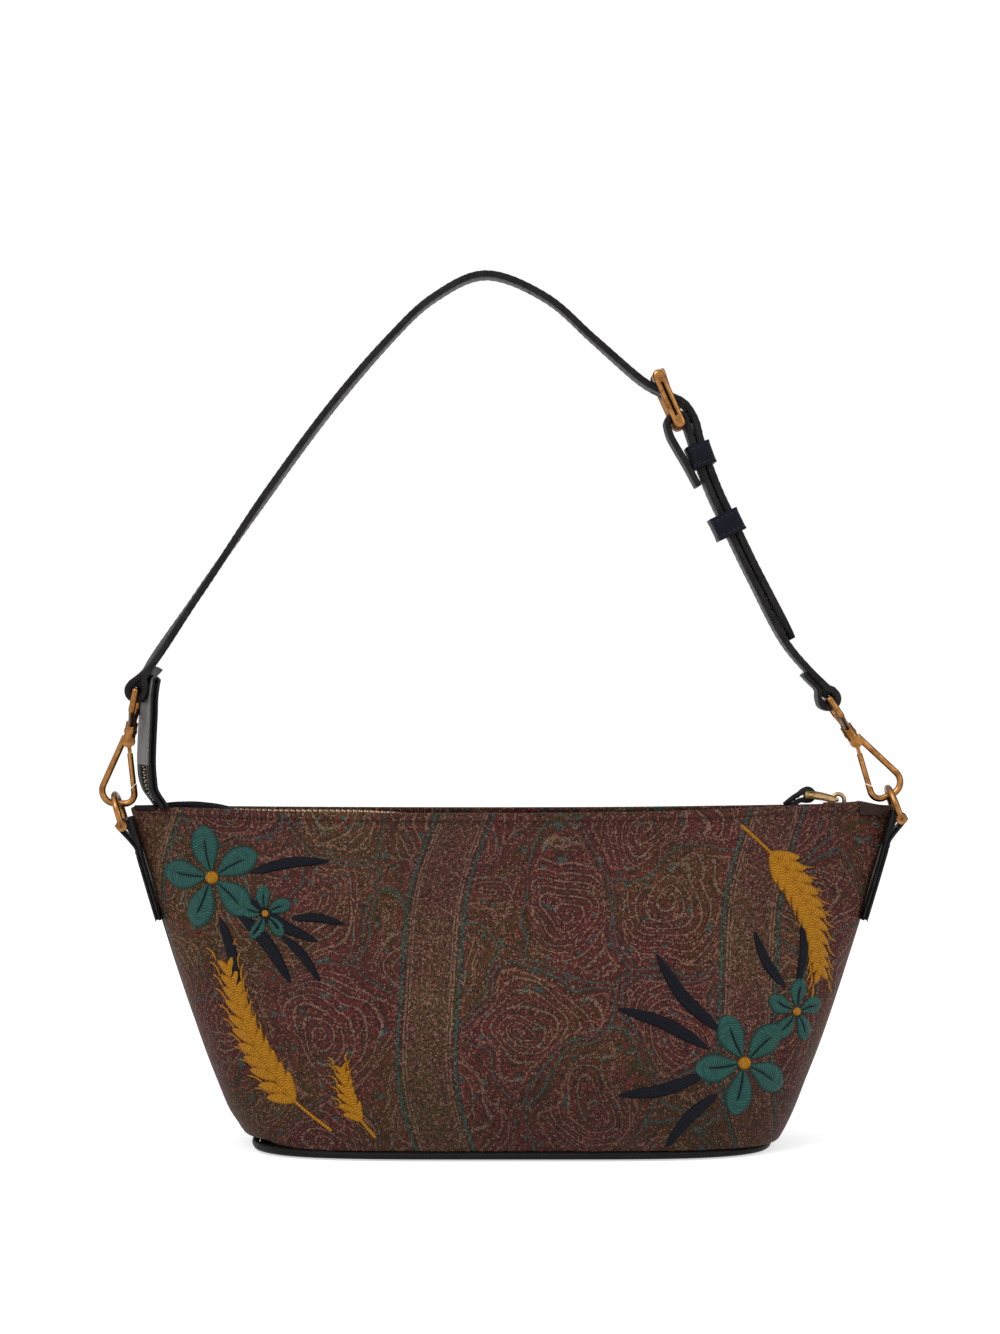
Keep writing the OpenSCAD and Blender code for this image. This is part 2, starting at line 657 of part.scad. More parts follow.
module hook_gate() {
    difference() {
        union() {
            cross_pin(knuckle_w, knuckle_r);
            translate([-neck_r, -knuckle_w / 2, -gate_neck - gate_r])
                cube([2 * neck_r, knuckle_w, gate_neck + gate_r]);
            difference() {
                translate([0, 0, -gate_len - gate_r]) cylinder(h = gate_len + gate_r - gate_neck, r = gate_r);
                translate([0, 0, -gate_len + run_gap / 2]) rotate([0, -gate_slant, 0])
                    translate([-hook_w / 4, -hook_w / 4, -hook_w / 4]) cube([hook_w / 2, hook_w / 2, hook_w / 4]);
            }
        }
        cross_pin(knuckle_w + 2 * cut, rivet_r);
    }
}
module gate_rivet() {
    cross_pin(boss_w, rivet_r - pin_gap);
    for (side = [-1, 1]) translate([0, side * (boss_w + rivet_head_t) / 2, 0])
        cross_pin(rivet_head_t, rivet_head_r);
}
// The eye: a bar for the strap, two legs and a round foot on the swivel hub
module hook_eye() {
    r = hook_r;
    round_r = eye_w / 2 + r;
    foot = hub_at + hub_len;
    spread = foot + round_r / 2;
    leg_in = hub_r * leg_in_share;
    on_stem() difference() {
        union() {
            translate([0, 0, hub_at]) cylinder(h = hub_len, r = hub_r);
            translate([0, 0, eye_reach]) rotate([90, 0, 0]) cylinder(h = 2 * round_r, r = r, center = true);
            for (y = [-1, 1]) translate([0, y * round_r, eye_reach]) sphere(r);
            for (y = [-1, 1]) {
                rod([0, y * round_r, eye_reach], [0, y * round_r, spread], r);
                translate([0, y * round_r, spread]) sphere(r);
                rod([0, y * round_r, spread], [0, y * leg_in, foot - r], r * leg_slim_share);
            }
        }
        translate([0, 0, hub_at - cut]) cylinder(h = hub_len + 2 * cut, r = post_pin_r);
        translate([0, 0, foot]) cylinder(h = post_head_t + run_gap, r = post_head_r + run_gap);
        translate([0, 0, hub_at - cut]) cylinder(h = cut, r = collar_r * 2);
    }
}
module left_hook_body() { color("#b98a3e") place_left_hook() hook_body(); }
module left_hook_gate() { color("#c2944a") place_left_hook() hook_gate(); }
module left_gate_rivet() { color("#a87b35") place_left_hook() gate_rivet(); }
module left_hook_eye() { color("#b98a3e") place_left_hook() hook_eye(); }
module right_hook_body() { color("#b98a3e") place_right_hook() hook_body(); }
module right_hook_gate() { color("#c2944a") place_right_hook() hook_gate(); }
module right_gate_rivet() { color("#a87b35") place_right_hook() gate_rivet(); }
module right_hook_eye() { color("#b98a3e") place_right_hook() hook_eye(); }

// Strap: the long part arches over and passes through the buckle and both keepers,
// and the short part joins the buckle to the right hook
left_eye_bar = left_rivet + eye_reach * [sin(stem_lean - left_lean), cos(stem_lean - left_lean)];
right_eye_bar = right_rivet + eye_reach * [-sin(stem_lean + right_lean), cos(stem_lean + right_lean)];
function strap_place(share) = left_eye_bar + [strap_reach * share[0], strap_rise * share[1]];
arch_shares = [[0.026, 0.068], [0.1345, 0.27], [0.2455, 0.475], [0.363, 0.677], [0.4765, 0.845],
    [0.562, 0.9457], [0.6615, 1], [0.7745, 0.9457], [0.866, 0.845], [0.953, 0.7486],
    [1.004, 0.711], [1.0425, 0.6886], [1.0695, 0.64]];
pair_shares = [[1.059, 0.602], [1.068, 0.566], [1.095, 0.477], [1.123, 0.403],
    [1.1455, 0.343], [1.172, 0.275], [1.236, 0.121]];
pair_route = [for (share = pair_shares) strap_place(share)];
fixed_keeper_at = 1;
sliding_keeper_at = 3;
ply_off = (strap_t + run_gap) / 2;
// loops at the strap's ends, each a little above the bar that hangs in it
loop_r = 2.2;
loop_ply = 2.5;
loop_up = 0.8;
left_loop = left_eye_bar + [0, loop_up];
right_loop = right_eye_bar + unit(pair_route[len(pair_route) - 1] - right_eye_bar) * loop_up;
curve_steps = 4;
left_loop_in = [left_loop - [loop_r + strap_t / 2, 0]];
// on a route that runs down to the right, the left side is the upper, outer one
long_route = smooth(concat(left_loop_in, [for (share = arch_shares) strap_place(share)],
    beside(pair_route, ply_off)), curve_steps);
// The buckle's frame leans along the line between the strap's two parts
buckle_share = [1.0065, 0.698];
buckle_lean = 24.3;
buckle_mid = strap_place(buckle_share);
buckle_along = [-sin(buckle_lean), cos(buckle_lean)];
buckle_out = [cos(buckle_lean), sin(buckle_lean)];
bar_r = buckle_bar_d / 2;
bar_half = (buckle_len - buckle_bar_d) / 2;
low_bar = buckle_mid - bar_half * buckle_along;
top_bar = buckle_mid + bar_half * buckle_along;
rail_t = 2;
frame_in_w = strap_w + 1;
bar_fold = bar_r + layer_gap;
bar_ply_t = 2.2;
prong_r = prong_d / 2;
prong_ring_wall = 1.1;
prong_ring_r = bar_r + prong_ring_wall;
prong_w = 2.2;
prong_slot_w = prong_w + 2 * run_gap;
prong_slot_len = 12;
prong_over = 1.6;
hole_steps = [31, 35, 71];

module at_route(p, i) {
    u = along(p, i);
    translate([p[i][0], 0, p[i][1]]) rotate([0, atan2(u[0], u[1]), 0]) children();
}
tail_ply_t = 2;
tail_out_share = 0.62;
tip_slope = 24;
module long_strap() {
    tail_start = left_loop + [loop_r + tail_ply_t / 2, 0];
    tail_end = left_loop + fold_len * unit([tail_out_share, 1]);
    last = len(long_route) - 1;
    color("#14110f") difference() {
        across(strap_w) difference() {
            union() {
                ribbon(long_route, -strap_t / 2, strap_t / 2);
                ribbon([tail_start, tail_end], -tail_ply_t / 2, tail_ply_t / 2);
                translate(left_loop) circle(loop_r + loop_ply);
            }
            translate(left_loop) circle(loop_r);
        }
        // slot for the prong, and the spare holes
        translate([buckle_mid[0], 0, buckle_mid[1]]) rotate([0, buckle_lean, 0])
            cube([prong_slot_len, prong_slot_w, 2 * prong_slot_len], center = true);
        for (i = hole_steps) at_route(long_route, i) rotate([0, 90, 0])
            cylinder(h = 2 * strap_t, r = punch_r, center = true);
        // tapered tip
        at_route(long_route, last) for (side = [-1, 1])
            translate([0, side * strap_w / 2, -strap_w / 2]) rotate([side * tip_slope, 0, 0])
                translate([0, side * strap_w / 2, strap_w / 2])
                    cube([4 * strap_t, strap_w, 2 * strap_w], center = true);
    }
}
spare_lift_share = 0.6;
module short_strap() {
    last = pair_route[len(pair_route) - 1];
    down = unit(right_loop - last);
    side = [-down[1], down[0]];
    main = smooth(concat([low_bar + [bar_fold + bar_ply_t / 2, 0]], beside(pair_route, -ply_off),
        [right_loop + side * (loop_r + strap_t / 2)]), curve_steps);
    tail_off = 1.5 * strap_t + keeper_t + 3 * run_gap;
    spare = beside(pair_route, -tail_off);
    tail = smooth([low_bar - [bar_fold + tail_ply_t / 2, 0],
        mix(low_bar - [bar_fold, 0], spare[0], spare_lift_share), spare[1], spare[2]], curve_steps);
    end = right_loop - side * (loop_r + tail_ply_t / 2);
    color("#14110f") difference() {
        across(strap_w) difference() {
            union() {
                ribbon(main, -strap_t / 2, strap_t / 2);
                ribbon(tail, -tail_ply_t / 2, tail_ply_t / 2);
                ribbon([end, end - fold_len * down + side * tail_ply_t / 2], -tail_ply_t / 2, tail_ply_t / 2);
                translate(low_bar) circle(bar_fold + bar_ply_t);
                translate(right_loop) circle(loop_r + loop_ply);
            }
            translate(low_bar) circle(bar_fold);
            translate(right_loop) circle(loop_r);
        }
        // slot in the loop for the prong's ring
        translate([low_bar[0], 0, low_bar[1]]) rotate([0, -buckle_lean, 0])
            translate([0, 0, prong_ring_r]) cube([4 * prong_ring_r, prong_slot_w, 4 * prong_ring_r], center = true);
    }
}
module buckle_frame() {
    color("#b98a3e") {
        for (bar = [low_bar, top_bar]) translate([bar[0], 0, bar[1]])
            cross_pin(frame_in_w + rail_t, bar_r);
        for (side = [-1, 1]) translate([buckle_mid[0], side * (frame_in_w + rail_t) / 2, buckle_mid[1]])
            rotate([0, -buckle_lean, 0]) rotate([90, 0, 0]) linear_extrude(rail_t, center = true) hull()
                for (end = [-1, 1]) translate([0, end * (buckle_len - buckle_rail_w) / 2])
                    circle(buckle_rail_w / 2, $fn = 32);
    }
}
module buckle_prong() {
    tip = top_bar + (bar_r + prong_r + run_gap) * buckle_out + prong_over * buckle_along;
    heel = low_bar + prong_r / 2 * buckle_out;
    color("#c2944a") difference() {
        union() {
            translate([low_bar[0], 0, low_bar[1]]) cross_pin(prong_w, prong_ring_r);
            rod([heel[0], 0, heel[1]], [tip[0], 0, tip[1]], prong_r);
            translate([tip[0], 0, tip[1]]) sphere(prong_r - pin_gap);
        }
        translate([low_bar[0], 0, low_bar[1]]) cross_pin(prong_w + 2 * cut, bar_r + pin_gap);
    }
}
keeper_in_w = strap_w + 2 * run_gap;
keeper_in_t = 2 * strap_t + 3 * run_gap;
module keeper(i) {
    color("#141a2b") at_route(pair_route, i) difference() {
        cube([keeper_in_t + 2 * keeper_t, keeper_in_w + 2 * keeper_t, keeper_len], center = true);
        cube([keeper_in_t, keeper_in_w, keeper_len + 2 * cut], center = true);
    }
}
module fixed_keeper() { keeper(fixed_keeper_at); }
module sliding_keeper() { keeper(sliding_keeper_at); }

front_panel();
back_panel();
base_panel();
base_piping();
base_board();
front_facing();
back_facing();
front_lining();
back_lining();
base_lining();
slip_pocket();
front_zip_tape();
back_zip_tape();
front_zip_teeth();
back_zip_teeth();
zip_slider();
zip_puller();
leather_pull_tab();
zip_tail_tape();
zip_tail_teeth();
zip_tail_leather();
zip_end_cover();
left_side_tab();
right_side_tab();
left_d_ring();
right_d_ring();
left_hook_body();
left_hook_gate();
left_gate_rivet();
left_hook_eye();
right_hook_body();
right_hook_gate();
right_gate_rivet();
right_hook_eye();
long_strap();
short_strap();
buckle_frame();
buckle_prong();
fixed_keeper();
sliding_keeper();
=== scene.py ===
"""A crossbody bag of coated cloth with a buckled leather strap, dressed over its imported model.

Laid out as an add-on: the sizes and colours are scene properties, each group of pieces has an
operator, and the panel in the 3D view's sidebar lists them. Sizes in the helpers are in
millimetres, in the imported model's frame: +X right, +Y back, +Z up.
"""
import math

import bmesh
import bpy
import numpy as np
from bpy.props import FloatProperty, FloatVectorProperty, PointerProperty
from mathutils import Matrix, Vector


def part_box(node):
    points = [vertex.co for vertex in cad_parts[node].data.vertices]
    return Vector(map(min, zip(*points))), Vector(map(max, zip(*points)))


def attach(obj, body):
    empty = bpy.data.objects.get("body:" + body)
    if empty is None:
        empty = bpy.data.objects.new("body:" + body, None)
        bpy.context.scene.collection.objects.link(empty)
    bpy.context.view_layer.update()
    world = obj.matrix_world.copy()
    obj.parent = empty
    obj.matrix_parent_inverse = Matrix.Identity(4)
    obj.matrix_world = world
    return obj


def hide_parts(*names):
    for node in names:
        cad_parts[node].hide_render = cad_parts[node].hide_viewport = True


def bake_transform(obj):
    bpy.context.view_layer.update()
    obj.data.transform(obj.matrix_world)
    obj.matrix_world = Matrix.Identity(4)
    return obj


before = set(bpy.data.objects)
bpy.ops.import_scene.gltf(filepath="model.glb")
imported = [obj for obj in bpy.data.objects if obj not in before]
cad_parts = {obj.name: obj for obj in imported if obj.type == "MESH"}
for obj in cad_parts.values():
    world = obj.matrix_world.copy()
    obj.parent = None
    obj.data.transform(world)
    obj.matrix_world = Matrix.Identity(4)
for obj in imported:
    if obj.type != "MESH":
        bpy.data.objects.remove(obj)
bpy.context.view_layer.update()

bl_info = {
    "name": "Crossbody bag",
    "version": (1, 0, 0),
    "blender": (4, 5, 0),
    "location": "3D View > Sidebar > Bag",
    "description": "Builds the cloth, leather, thread and metal of a crossbody bag over its packed model",
    "category": "Add Mesh",
}

MM = 0.001


# ---------------------------------------------------------------- settings

def size(name, value, text):
    """A length, given in millimetres and kept in metres."""
    return FloatProperty(name=name, description=text, default=value * MM, min=0, unit="LENGTH", precision=5)


def share(name, value, text, top=1.0):
    return FloatProperty(name=name, description=text, default=value, min=0, max=top, subtype="FACTOR")


def angle(name, value, text):
    """An angle, given in degrees and kept in radians."""
    return FloatProperty(name=name, description=text, default=math.radians(value), subtype="ANGLE")


def colour(name, value, text):
    return FloatVectorProperty(name=name, description=text, default=value, size=3, min=0, max=1, subtype="COLOR")


class BAG_PG_body(bpy.types.PropertyGroup):
    """Sizes of the body"""
    mouth_len: size("Mouth length", 290, "Length of the mouth between the side seams")
    mouth_depth: size("Mouth depth", 28, "Depth of the mouth at its middle")
    base_len: size("Base length", 196, "Length of the base")
    base_depth: size("Base depth", 92, "Depth of the base")
    belly: size("Belly", 3, "Swell of the front and back at mid height")
    shell_t: size("Shell thickness", 1.8, "Thickness of the coated cloth")
    hem: size("Hem", 3.6, "Height of the turned hem round the mouth")
    soft: size("Softness", 0.55, "Height of the soft waves in the cloth")
    piping_d: size("Piping", 2.8, "Diameter of the piping round the base")


class BAG_PG_strap(bpy.types.PropertyGroup):
    """Sizes of the strap"""
    width: size("Width", 15, "Width of the strap")
    thickness: size("Thickness", 2.8, "Thickness of the strap")
    stitch_in: size("Stitch inset", 1.7, "Distance of the stitch line from the edge")
    twist: angle("Twist", 7.5, "Turn of the strap's lower left run towards the front")
    turn_low: angle("Turn elsewhere", 1.5, "Turn of the rest of the strap towards the front")


class BAG_PG_thread(bpy.types.PropertyGroup):
    """Stitches and embroidery"""
    pitch: size("Stitch pitch", 3.0, "Distance from one stitch to the next")
    length: size("Stitch length", 2.2, "Length of one stitch")
    gauge: size("Thread", 0.4, "Thickness of the sewing thread")
    gold: colour("Gold thread", (0.56, 0.235, 0.012), "Colour of the gold embroidery")
    teal: colour("Teal thread", (0.032, 0.115, 0.098), "Colour of the teal embroidery")
    navy: colour("Navy thread", (0.0075, 0.0085, 0.016), "Colour of the navy embroidery")
    sewing: colour("Sewing thread", (0.02, 0.017, 0.016), "Colour of the sewing thread")


class BAG_PG_cloth(bpy.types.PropertyGroup):
    """Colours and scale of the woven cloth"""
    ground: colour("Ground", (0.072, 0.022, 0.017), "Burgundy ground of the weave")
    olive: colour("Olive", (0.066, 0.042, 0.014), "Olive ground of the weave")
    deep: colour("Deep", (0.010, 0.0055, 0.0045), "Darkest thread")
    pale: colour("Pale", (0.34, 0.19, 0.135), "Palest thread")
    red: colour("Red", (0.185, 0.027, 0.030), "Red line of the pattern")
    teal: colour("Teal", (0.030, 0.085, 0.076), "Teal line of the pattern")
    lining: colour("Lining", (0.19, 0.145, 0.10), "Lining cloth")
    cell: size("Scroll size", 40, "Distance between the scrolls of the pattern")
    thread: size("Thread size", 0.5, "Size of one thread of the weave")


class BAG_PG_finish(bpy.types.PropertyGroup):
    """Leather and metal"""
    black: colour("Black leather", (0.0085, 0.0076, 0.0074), "Leather of the strap, tabs and base")
    under: colour("Strap underside", (0.060, 0.056, 0.056), "Leather on the underside of the strap")
    tail: colour("Tail of the zip", (0.205, 0.196, 0.192), "Leather on the outer face of the zip's tail")
    brown: colour("Brown leather", (0.026, 0.0145, 0.0100), "Leather over the end of the zip")
    navy: colour("Navy leather", (0.0040, 0.0050, 0.0092), "Leather of the keepers")
    gold: colour("Gold metal", (0.42, 0.195, 0.062), "Metal of the rings, hooks and buckle")
    zip_gold: colour("Zip metal", (0.50, 0.345, 0.165), "Metal of the zip")
    roughness: share("Metal roughness", 0.21, "Roughness of the metal")
    wear: share("Edge wear", 0.35, "Wear of the leather along its edges")


class BAG_PG_stage(bpy.types.PropertyGroup):
    """Camera and light"""
    distance: size("Camera distance", 1150, "Distance from the camera to the bag")
    eye: size("Camera height", 180, "Height of the camera above the floor")
    tall: size("Frame height", 507, "Height of the picture at the bag")
    key: FloatProperty(name="Key light", description="Power of the large soft lamp", default=10.0, min=0, unit="POWER")
    fill: FloatProperty(name="Fill light", description="Power of the fill lamp", default=3.6, min=0, unit="POWER")
    sky: share("Sky", 0.56, "Strength of the room's own light", 2.0)


def settings(name):
    """The scene's own values of one property group."""
    return getattr(bpy.context.scene, "bag_" + name)


def mm(value):
    """A length of the settings in millimetres."""
    return value / MM


# ---------------------------------------------------------------- curves in the X-Z plane

def unit2(v):
    """A direction of length one."""
    return np.asarray(v, float) / max(np.linalg.norm(v), 1e-9)


def smooth(points, steps):
    """A smooth curve through a list of points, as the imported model's own curves are drawn."""
    p = [np.asarray(q, float) for q in points]
    out = []
    for i in range(len(p) - 1):
        a, b, c, d = p[max(i - 1, 0)], p[i], p[i + 1], p[min(i + 2, len(p) - 1)]
        for k in range(steps):
            t = k / steps
            out.append(0.5 * (2 * b + (c - a) * t + (2 * a - 5 * b + 4 * c - d) * t * t
                              + (3 * b - a - 3 * c + d) * t ** 3))
    return out + [p[-1]]


def along(points, i):
    """Direction of a line of points at one of them."""
    return unit2(points[min(i + 1, len(points) - 1)] - points[max(i - 1, 0)])


def left_of(u):
    """The direction to the left of another."""
    return np.array([-u[1], u[0]])


def crosswise(u, turn):
    """The two directions in space across a strap that runs along u, turned about it: sideways and outwards."""
    out, side = np.array([-u[1], 0, u[0]]), np.array([0.0, 1.0, 0.0])
    c, s = math.cos(turn), math.sin(turn)
    return side * c - out * s, out * c + side * s


def beside(points, distance):
    """The points moved to the left of their line by a distance."""
    return [p + distance * left_of(along(points, i)) for i, p in enumerate(points)]


def at_y(line, y):
    """A line of the X-Z plane as points in space at one depth."""
    return [(p[0], y, p[1]) for p in line]


def shifted(points, y):
    """Points in space moved back by y."""
    return [(p[0], p[1] + y, p[2]) for p in points]


def arc(centre, radius, start, stop, count):
    """Points of an arc by degrees; the radius may run from one value to another."""
    r0, r1 = radius if hasattr(radius, "__len__") else (radius, radius)
    out = []
    for k in range(count + 1):
        t = k / count
        a = math.radians(start + (stop - start) * t)
        out.append(np.asarray(centre, float) + (r0 + (r1 - r0) * t) * np.array([math.cos(a), math.sin(a)]))
    return out


def lengths(points):
    """Distance run along the points."""
    p = np.asarray(points, float)
    return np.concatenate([[0], np.cumsum(np.linalg.norm(np.diff(p, axis=0), axis=1))])


def ease(t):
    """A soft step from nought to one."""
    t = np.clip(t, 0, 1)
    return t * t * (3 - 2 * t)


def evenly(points, step):
    """The same line with its points an even step apart."""
    p, run = np.asarray(points, float), lengths(points)
    at = np.linspace(0, run[-1], max(int(round(run[-1] / step)), 1) + 1)
    return [np.array([np.interp(s, run, p[:, k]) for k in range(p.shape[1])]) for s in at]


# ---------------------------------------------------------------- meshes

def grid_faces(rows, cols, wrap_rows=False, wrap_cols=False, first=0):
    """Faces of a grid of points laid row by row."""
    out = []
    for j in range(rows if wrap_rows else rows - 1):
        for i in range(cols if wrap_cols else cols - 1):
            a, b = first + j * cols + i, first + j * cols + (i + 1) % cols
            c, d = first + ((j + 1) % rows) * cols + (i + 1) % cols, first + ((j + 1) % rows) * cols + i
            out.append((a, b, c, d))
    return out


def tube_faces(rows, cols, other_way=False):
    """Faces of rings of points laid one after another, with both ends closed."""
    ends = [tuple(range(cols))[::-1], tuple(range((rows - 1) * cols, rows * cols))]
    return grid_faces(rows, cols, wrap_cols=True) + [end[::-1] if other_way else end for end in ends]


def raw_mesh(name, points, faces, edges=()):
    """A mesh from points in millimetres."""
    mesh = bpy.data.meshes.new(name)
    mesh.from_pydata([tuple(float(c) * MM for c in p) for p in points], list(edges), [list(f) for f in faces])
    return mesh


def outward(mesh):
    """Turns a mesh's faces outwards."""
    bm = bmesh.new()
    bm.from_mesh(mesh)
    bmesh.ops.recalc_face_normals(bm, faces=bm.faces)
    bm.to_mesh(mesh)
    bm.free()
    return mesh


def finish_piece(obj, body, replaces=()):
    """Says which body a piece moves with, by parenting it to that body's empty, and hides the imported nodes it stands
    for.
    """
    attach(obj, body)
    if replaces:
        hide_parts(*replaces)
    return obj


def piece(name, points, faces, material, body=None, replaces=(), uv=None, marks=None, turn=True,
          sharp=None):
    """A mesh piece in millimetres. uv and marks hold one value for each point."""
    mesh = raw_mesh(name, points, faces)
    if uv is not None:
        layer = mesh.uv_layers.new(name="flat")
        where = np.zeros(len(mesh.loops), int)
        mesh.loops.foreach_get("vertex_index", where)
        layer.data.foreach_set("uv", (np.asarray(uv, float)[where] * MM).ravel())
    for key, values in (marks or {}).items():
        mesh.attributes.new(key, "FLOAT", "POINT").data.foreach_set("value", np.asarray(values, np.float32))
    if turn:
        outward(mesh)
    mesh.shade_smooth()
    if sharp:
        mesh.set_sharp_from_angle(angle=math.radians(sharp))
    mesh.materials.append(material)
    mesh.validate()
    obj = bpy.data.objects.new(name, mesh)
    bpy.context.scene.collection.objects.link(obj)
    if body:
        finish_piece(obj, body, replaces)
    return obj


def applied(obj):
    """The object with its modifiers made part of its mesh."""
    deps = bpy.context.evaluated_depsgraph_get()
    mesh = bpy.data.meshes.new_from_object(obj.evaluated_get(deps))
    obj.modifiers.clear()
    old = obj.data
    obj.data = mesh
    bpy.data.meshes.remove(old)
    return obj


def round_section(width, thick, crown=0.12, groove=None, soft=0.45):
    """Section of a leather strap: (across, out, edge mark, underside mark), once round.
    A stitch groove runs at a distance from the middle, and the edges are rounded by soft."""
    w, t = width / 2, thick / 2
    g, lip, sink, fall = groove or w * 0.75, 0.45, 0.14, 0.08
    xs = [-w + soft * 1.3, -g - lip, -g, -g + lip, -w * 0.5, -w * 0.2, w * 0.2, w * 0.5, g - lip, g, g + lip,
          w - soft * 1.3]
    top = [(x, t - (sink if abs(abs(x) - g) < 1e-6 else 0) + crown * (1 - (x / w) ** 2) - crown
            - (fall if abs(x) > g + 0.5 else 0)) for x in xs]
    side = [(w - soft * 0.35, t - soft * 0.5), (w, t - soft * 1.3), (w + 0.06, 0), (w, -t + soft * 1.3),
            (w - soft * 0.35, -t + soft * 0.5)]
    ring = [(x, z, 0, 0) for x, z in top] + [(x, z, 1, 0) for x, z in side]
    return ring + [(x, -z, 0, 1) for x, z in reversed(top)] + [(-x, z, 1, 0) for x, z in reversed(side)]


def strap_sweep(route, section, thick=None, wide=None, turn=None, soft_end=0.5):
    """Sweeps a section along a route in the X-Z plane. thick and wide scale it and turn twists it at each point.
    Returns points, faces and the section's marks."""
    last = len(route) - 1
    thick, wide, turn = thick or [1.0] * len(route), wide or [1.0] * len(route), turn or [0.0] * len(route)
    # the section is a little smaller over the last bit of each end: place, shift and scale
    places = [(0, 0.0, 0.86), (0, soft_end * 0.35, 0.96)] + [(i, 0.0, 1.0) for i in range(1, last)]
    places += [(last, -soft_end * 0.35, 0.96), (last, 0.0, 0.86)]
    rings = []
    for i, shift, scale in places:
        u = along(route, i)
        side, out = crosswise(u, turn[i])
        base = np.array([route[i][0], 0, route[i][1]]) + shift * np.array([u[0], 0, u[1]])
        for a, b, _, _ in section:
            trim = 1 - (1 - scale) * (0.25 if abs(a) > 2 else 1)
            rings.append(base + side * a * wide[i] * trim + out * b * thick[i] * scale)
    marks = {"edge": [m[2] for m in section] * len(places), "under": [m[3] for m in section] * len(places)}
    return rings, tube_faces(len(places), len(section), other_way=True), marks


def tube(route, radius, sides=12, closed=False):
    """A round wire along points in space; the radius may be a list."""
    p = [np.asarray(q, float) for q in route]
    count = len(p)
    radii = radius if hasattr(radius, "__len__") else [radius] * count
    rings, normal = [], None
    for i in range(count):
        before, after = (p[i - 1], p[(i + 1) % count]) if closed else (p[max(i - 1, 0)], p[min(i + 1, count - 1)])
        u = (after - before) / np.linalg.norm(after - before)
        if normal is None:
            normal = np.cross(u, [0, 1, 0])
            if np.linalg.norm(normal) < 0.2:
                normal = np.cross(u, [1, 0, 0])
        normal = normal - u * np.dot(normal, u)
        normal /= np.linalg.norm(normal)
        other = np.cross(u, normal)
        for k in range(sides):
            a = 2 * math.pi * k / sides
            rings.append(p[i] + radii[i] * (normal * math.cos(a) + other * math.sin(a)))
    return rings, grid_faces(count, sides, True, True) if closed else tube_faces(count, sides)


def swept(name, route, section, material, body, slot, replaces=(), place=list, **sweep):
    """A piece of leather or tape along a route in the X-Z plane; place moves its points."""
    points, faces, marks = strap_sweep(route, section, **sweep)
    return piece(name, place(points), faces, finish(material), body, replaces, marks=marks)


def wire(name, route, radius, material, body, replaces=(), sides=12, closed=False):
    """A round piece along points in space."""
    points, faces = tube(route, radius, sides, closed)
    return piece(name, points, faces, finish(material), body, replaces)


def merged(parts):
    """One list of points and faces from several, with their marks."""
    points, faces, marks = [], [], {}
    for part in parts:
        first = len(points)
        points += list(part[0])
        faces += [tuple(i + first for i in f) for f in part[1]]
        for key, values in (part[2] if len(part) > 2 else {}).items():
            marks.setdefault(key, []).extend(values)
    return points, faces, marks




# ---------------------------------------------------------------- the body's form

MOUTH_Z, FOOT_Z = 127.0, 2.95
BACK_SHIFT, BACK_START = 61, 371  # the back's waves and the back's pattern begin elsewhere than the front's
# heights of the mouth's edge above its level, along it
EDGE_LIFT = [(-146, 0.0), (-134, 0.1), (-118, -0.2), (-90, -1.1), (-55, -1.7), (-10, -1.9), (40, -1.6), (80, -0.4),
             (108, 0.9), (126, 1.9), (132, 2.1), (135, 1.4), (140, -0.2), (146, -0.6)]


def half_len(s):
    """Half the body's length at a share of its height."""
    b = settings("body")
    return mm(b.base_len) / 2 + mm(b.mouth_len - b.base_len) / 2 * max(s, 0) ** 0.75


def half_depth(s):
    b = settings("body")
    return (mm(b.base_depth) + (mm(b.mouth_depth) - mm(b.base_depth)) * s) / 2 + mm(b.belly) * math.sin(math.pi * s)


def powers(s):
    """How square the outline is at a share of the height, along its length and its depth."""
    return 2 / (4.5 - 0.5 * s), 2 / (3 - 2 * s)


def level_outline(s, inset, count=720):
    """Level outline of the front half at a share of the height, from the left seam to the right seam."""
    lx, ly = half_len(s) - inset * (1 + 1.8 * s), half_depth(s) - inset
    px, py = powers(s)
    a = np.linspace(0, math.pi, count + 1)
    return np.stack([-lx * np.sign(np.cos(a)) * np.abs(np.cos(a)) ** px, -ly * np.abs(np.sin(a)) ** py], axis=1)


def outline_at(s, inset, q):
    """Points of the outline at shares q of its own length, from -1 to 1, and half its length."""
    p = level_outline(s, inset)
    run = lengths(p)
    at = (np.asarray(q) + 1) / 2 * run[-1]
    return np.interp(at, run, p[:, 0]), np.interp(at, run, p[:, 1]), run[-1] / 2


def mouth_y(x, inset):
    """Half the mouth's depth along it."""
    b = settings("body")
    lx = mm(b.mouth_len) / 2 - inset * 2.8
    return (mm(b.mouth_depth) / 2 - inset) * np.maximum(0, 1 - (np.abs(x) / lx) ** 4)


def lift_at(x):
    """Height of the mouth's edge above its level, along it."""
    p = np.array(smooth(EDGE_LIFT, 6))
    return np.interp(x, p[:, 0], p[:, 1])


def waves(u, z):
    """Soft waves of the cloth, nought at the foot, the mouth and the seams."""
    u, z = np.asarray(u, float), np.asarray(z, float)
    w = 0.5 * np.sin(u / 24 + 0.8) * np.sin(z / 17 + 0.5) + 0.35 * np.sin(u / 13.5 - z / 31 + 2.1)
    w += 0.9 * np.exp(-((u - 118 + (MOUTH_Z - z) * 0.55) / 9.0) ** 2)
    w -= 0.8 * np.exp(-((u + 112 - (MOUTH_Z - z) * 0.42) / 10.0) ** 2)
    w += 0.6 * np.exp(-(((z - 22) / 9) ** 2)) * np.sin(u / 38 + 1.0)
    return w * ease((z - 6) / 26) * ease((124 - z) / 20)


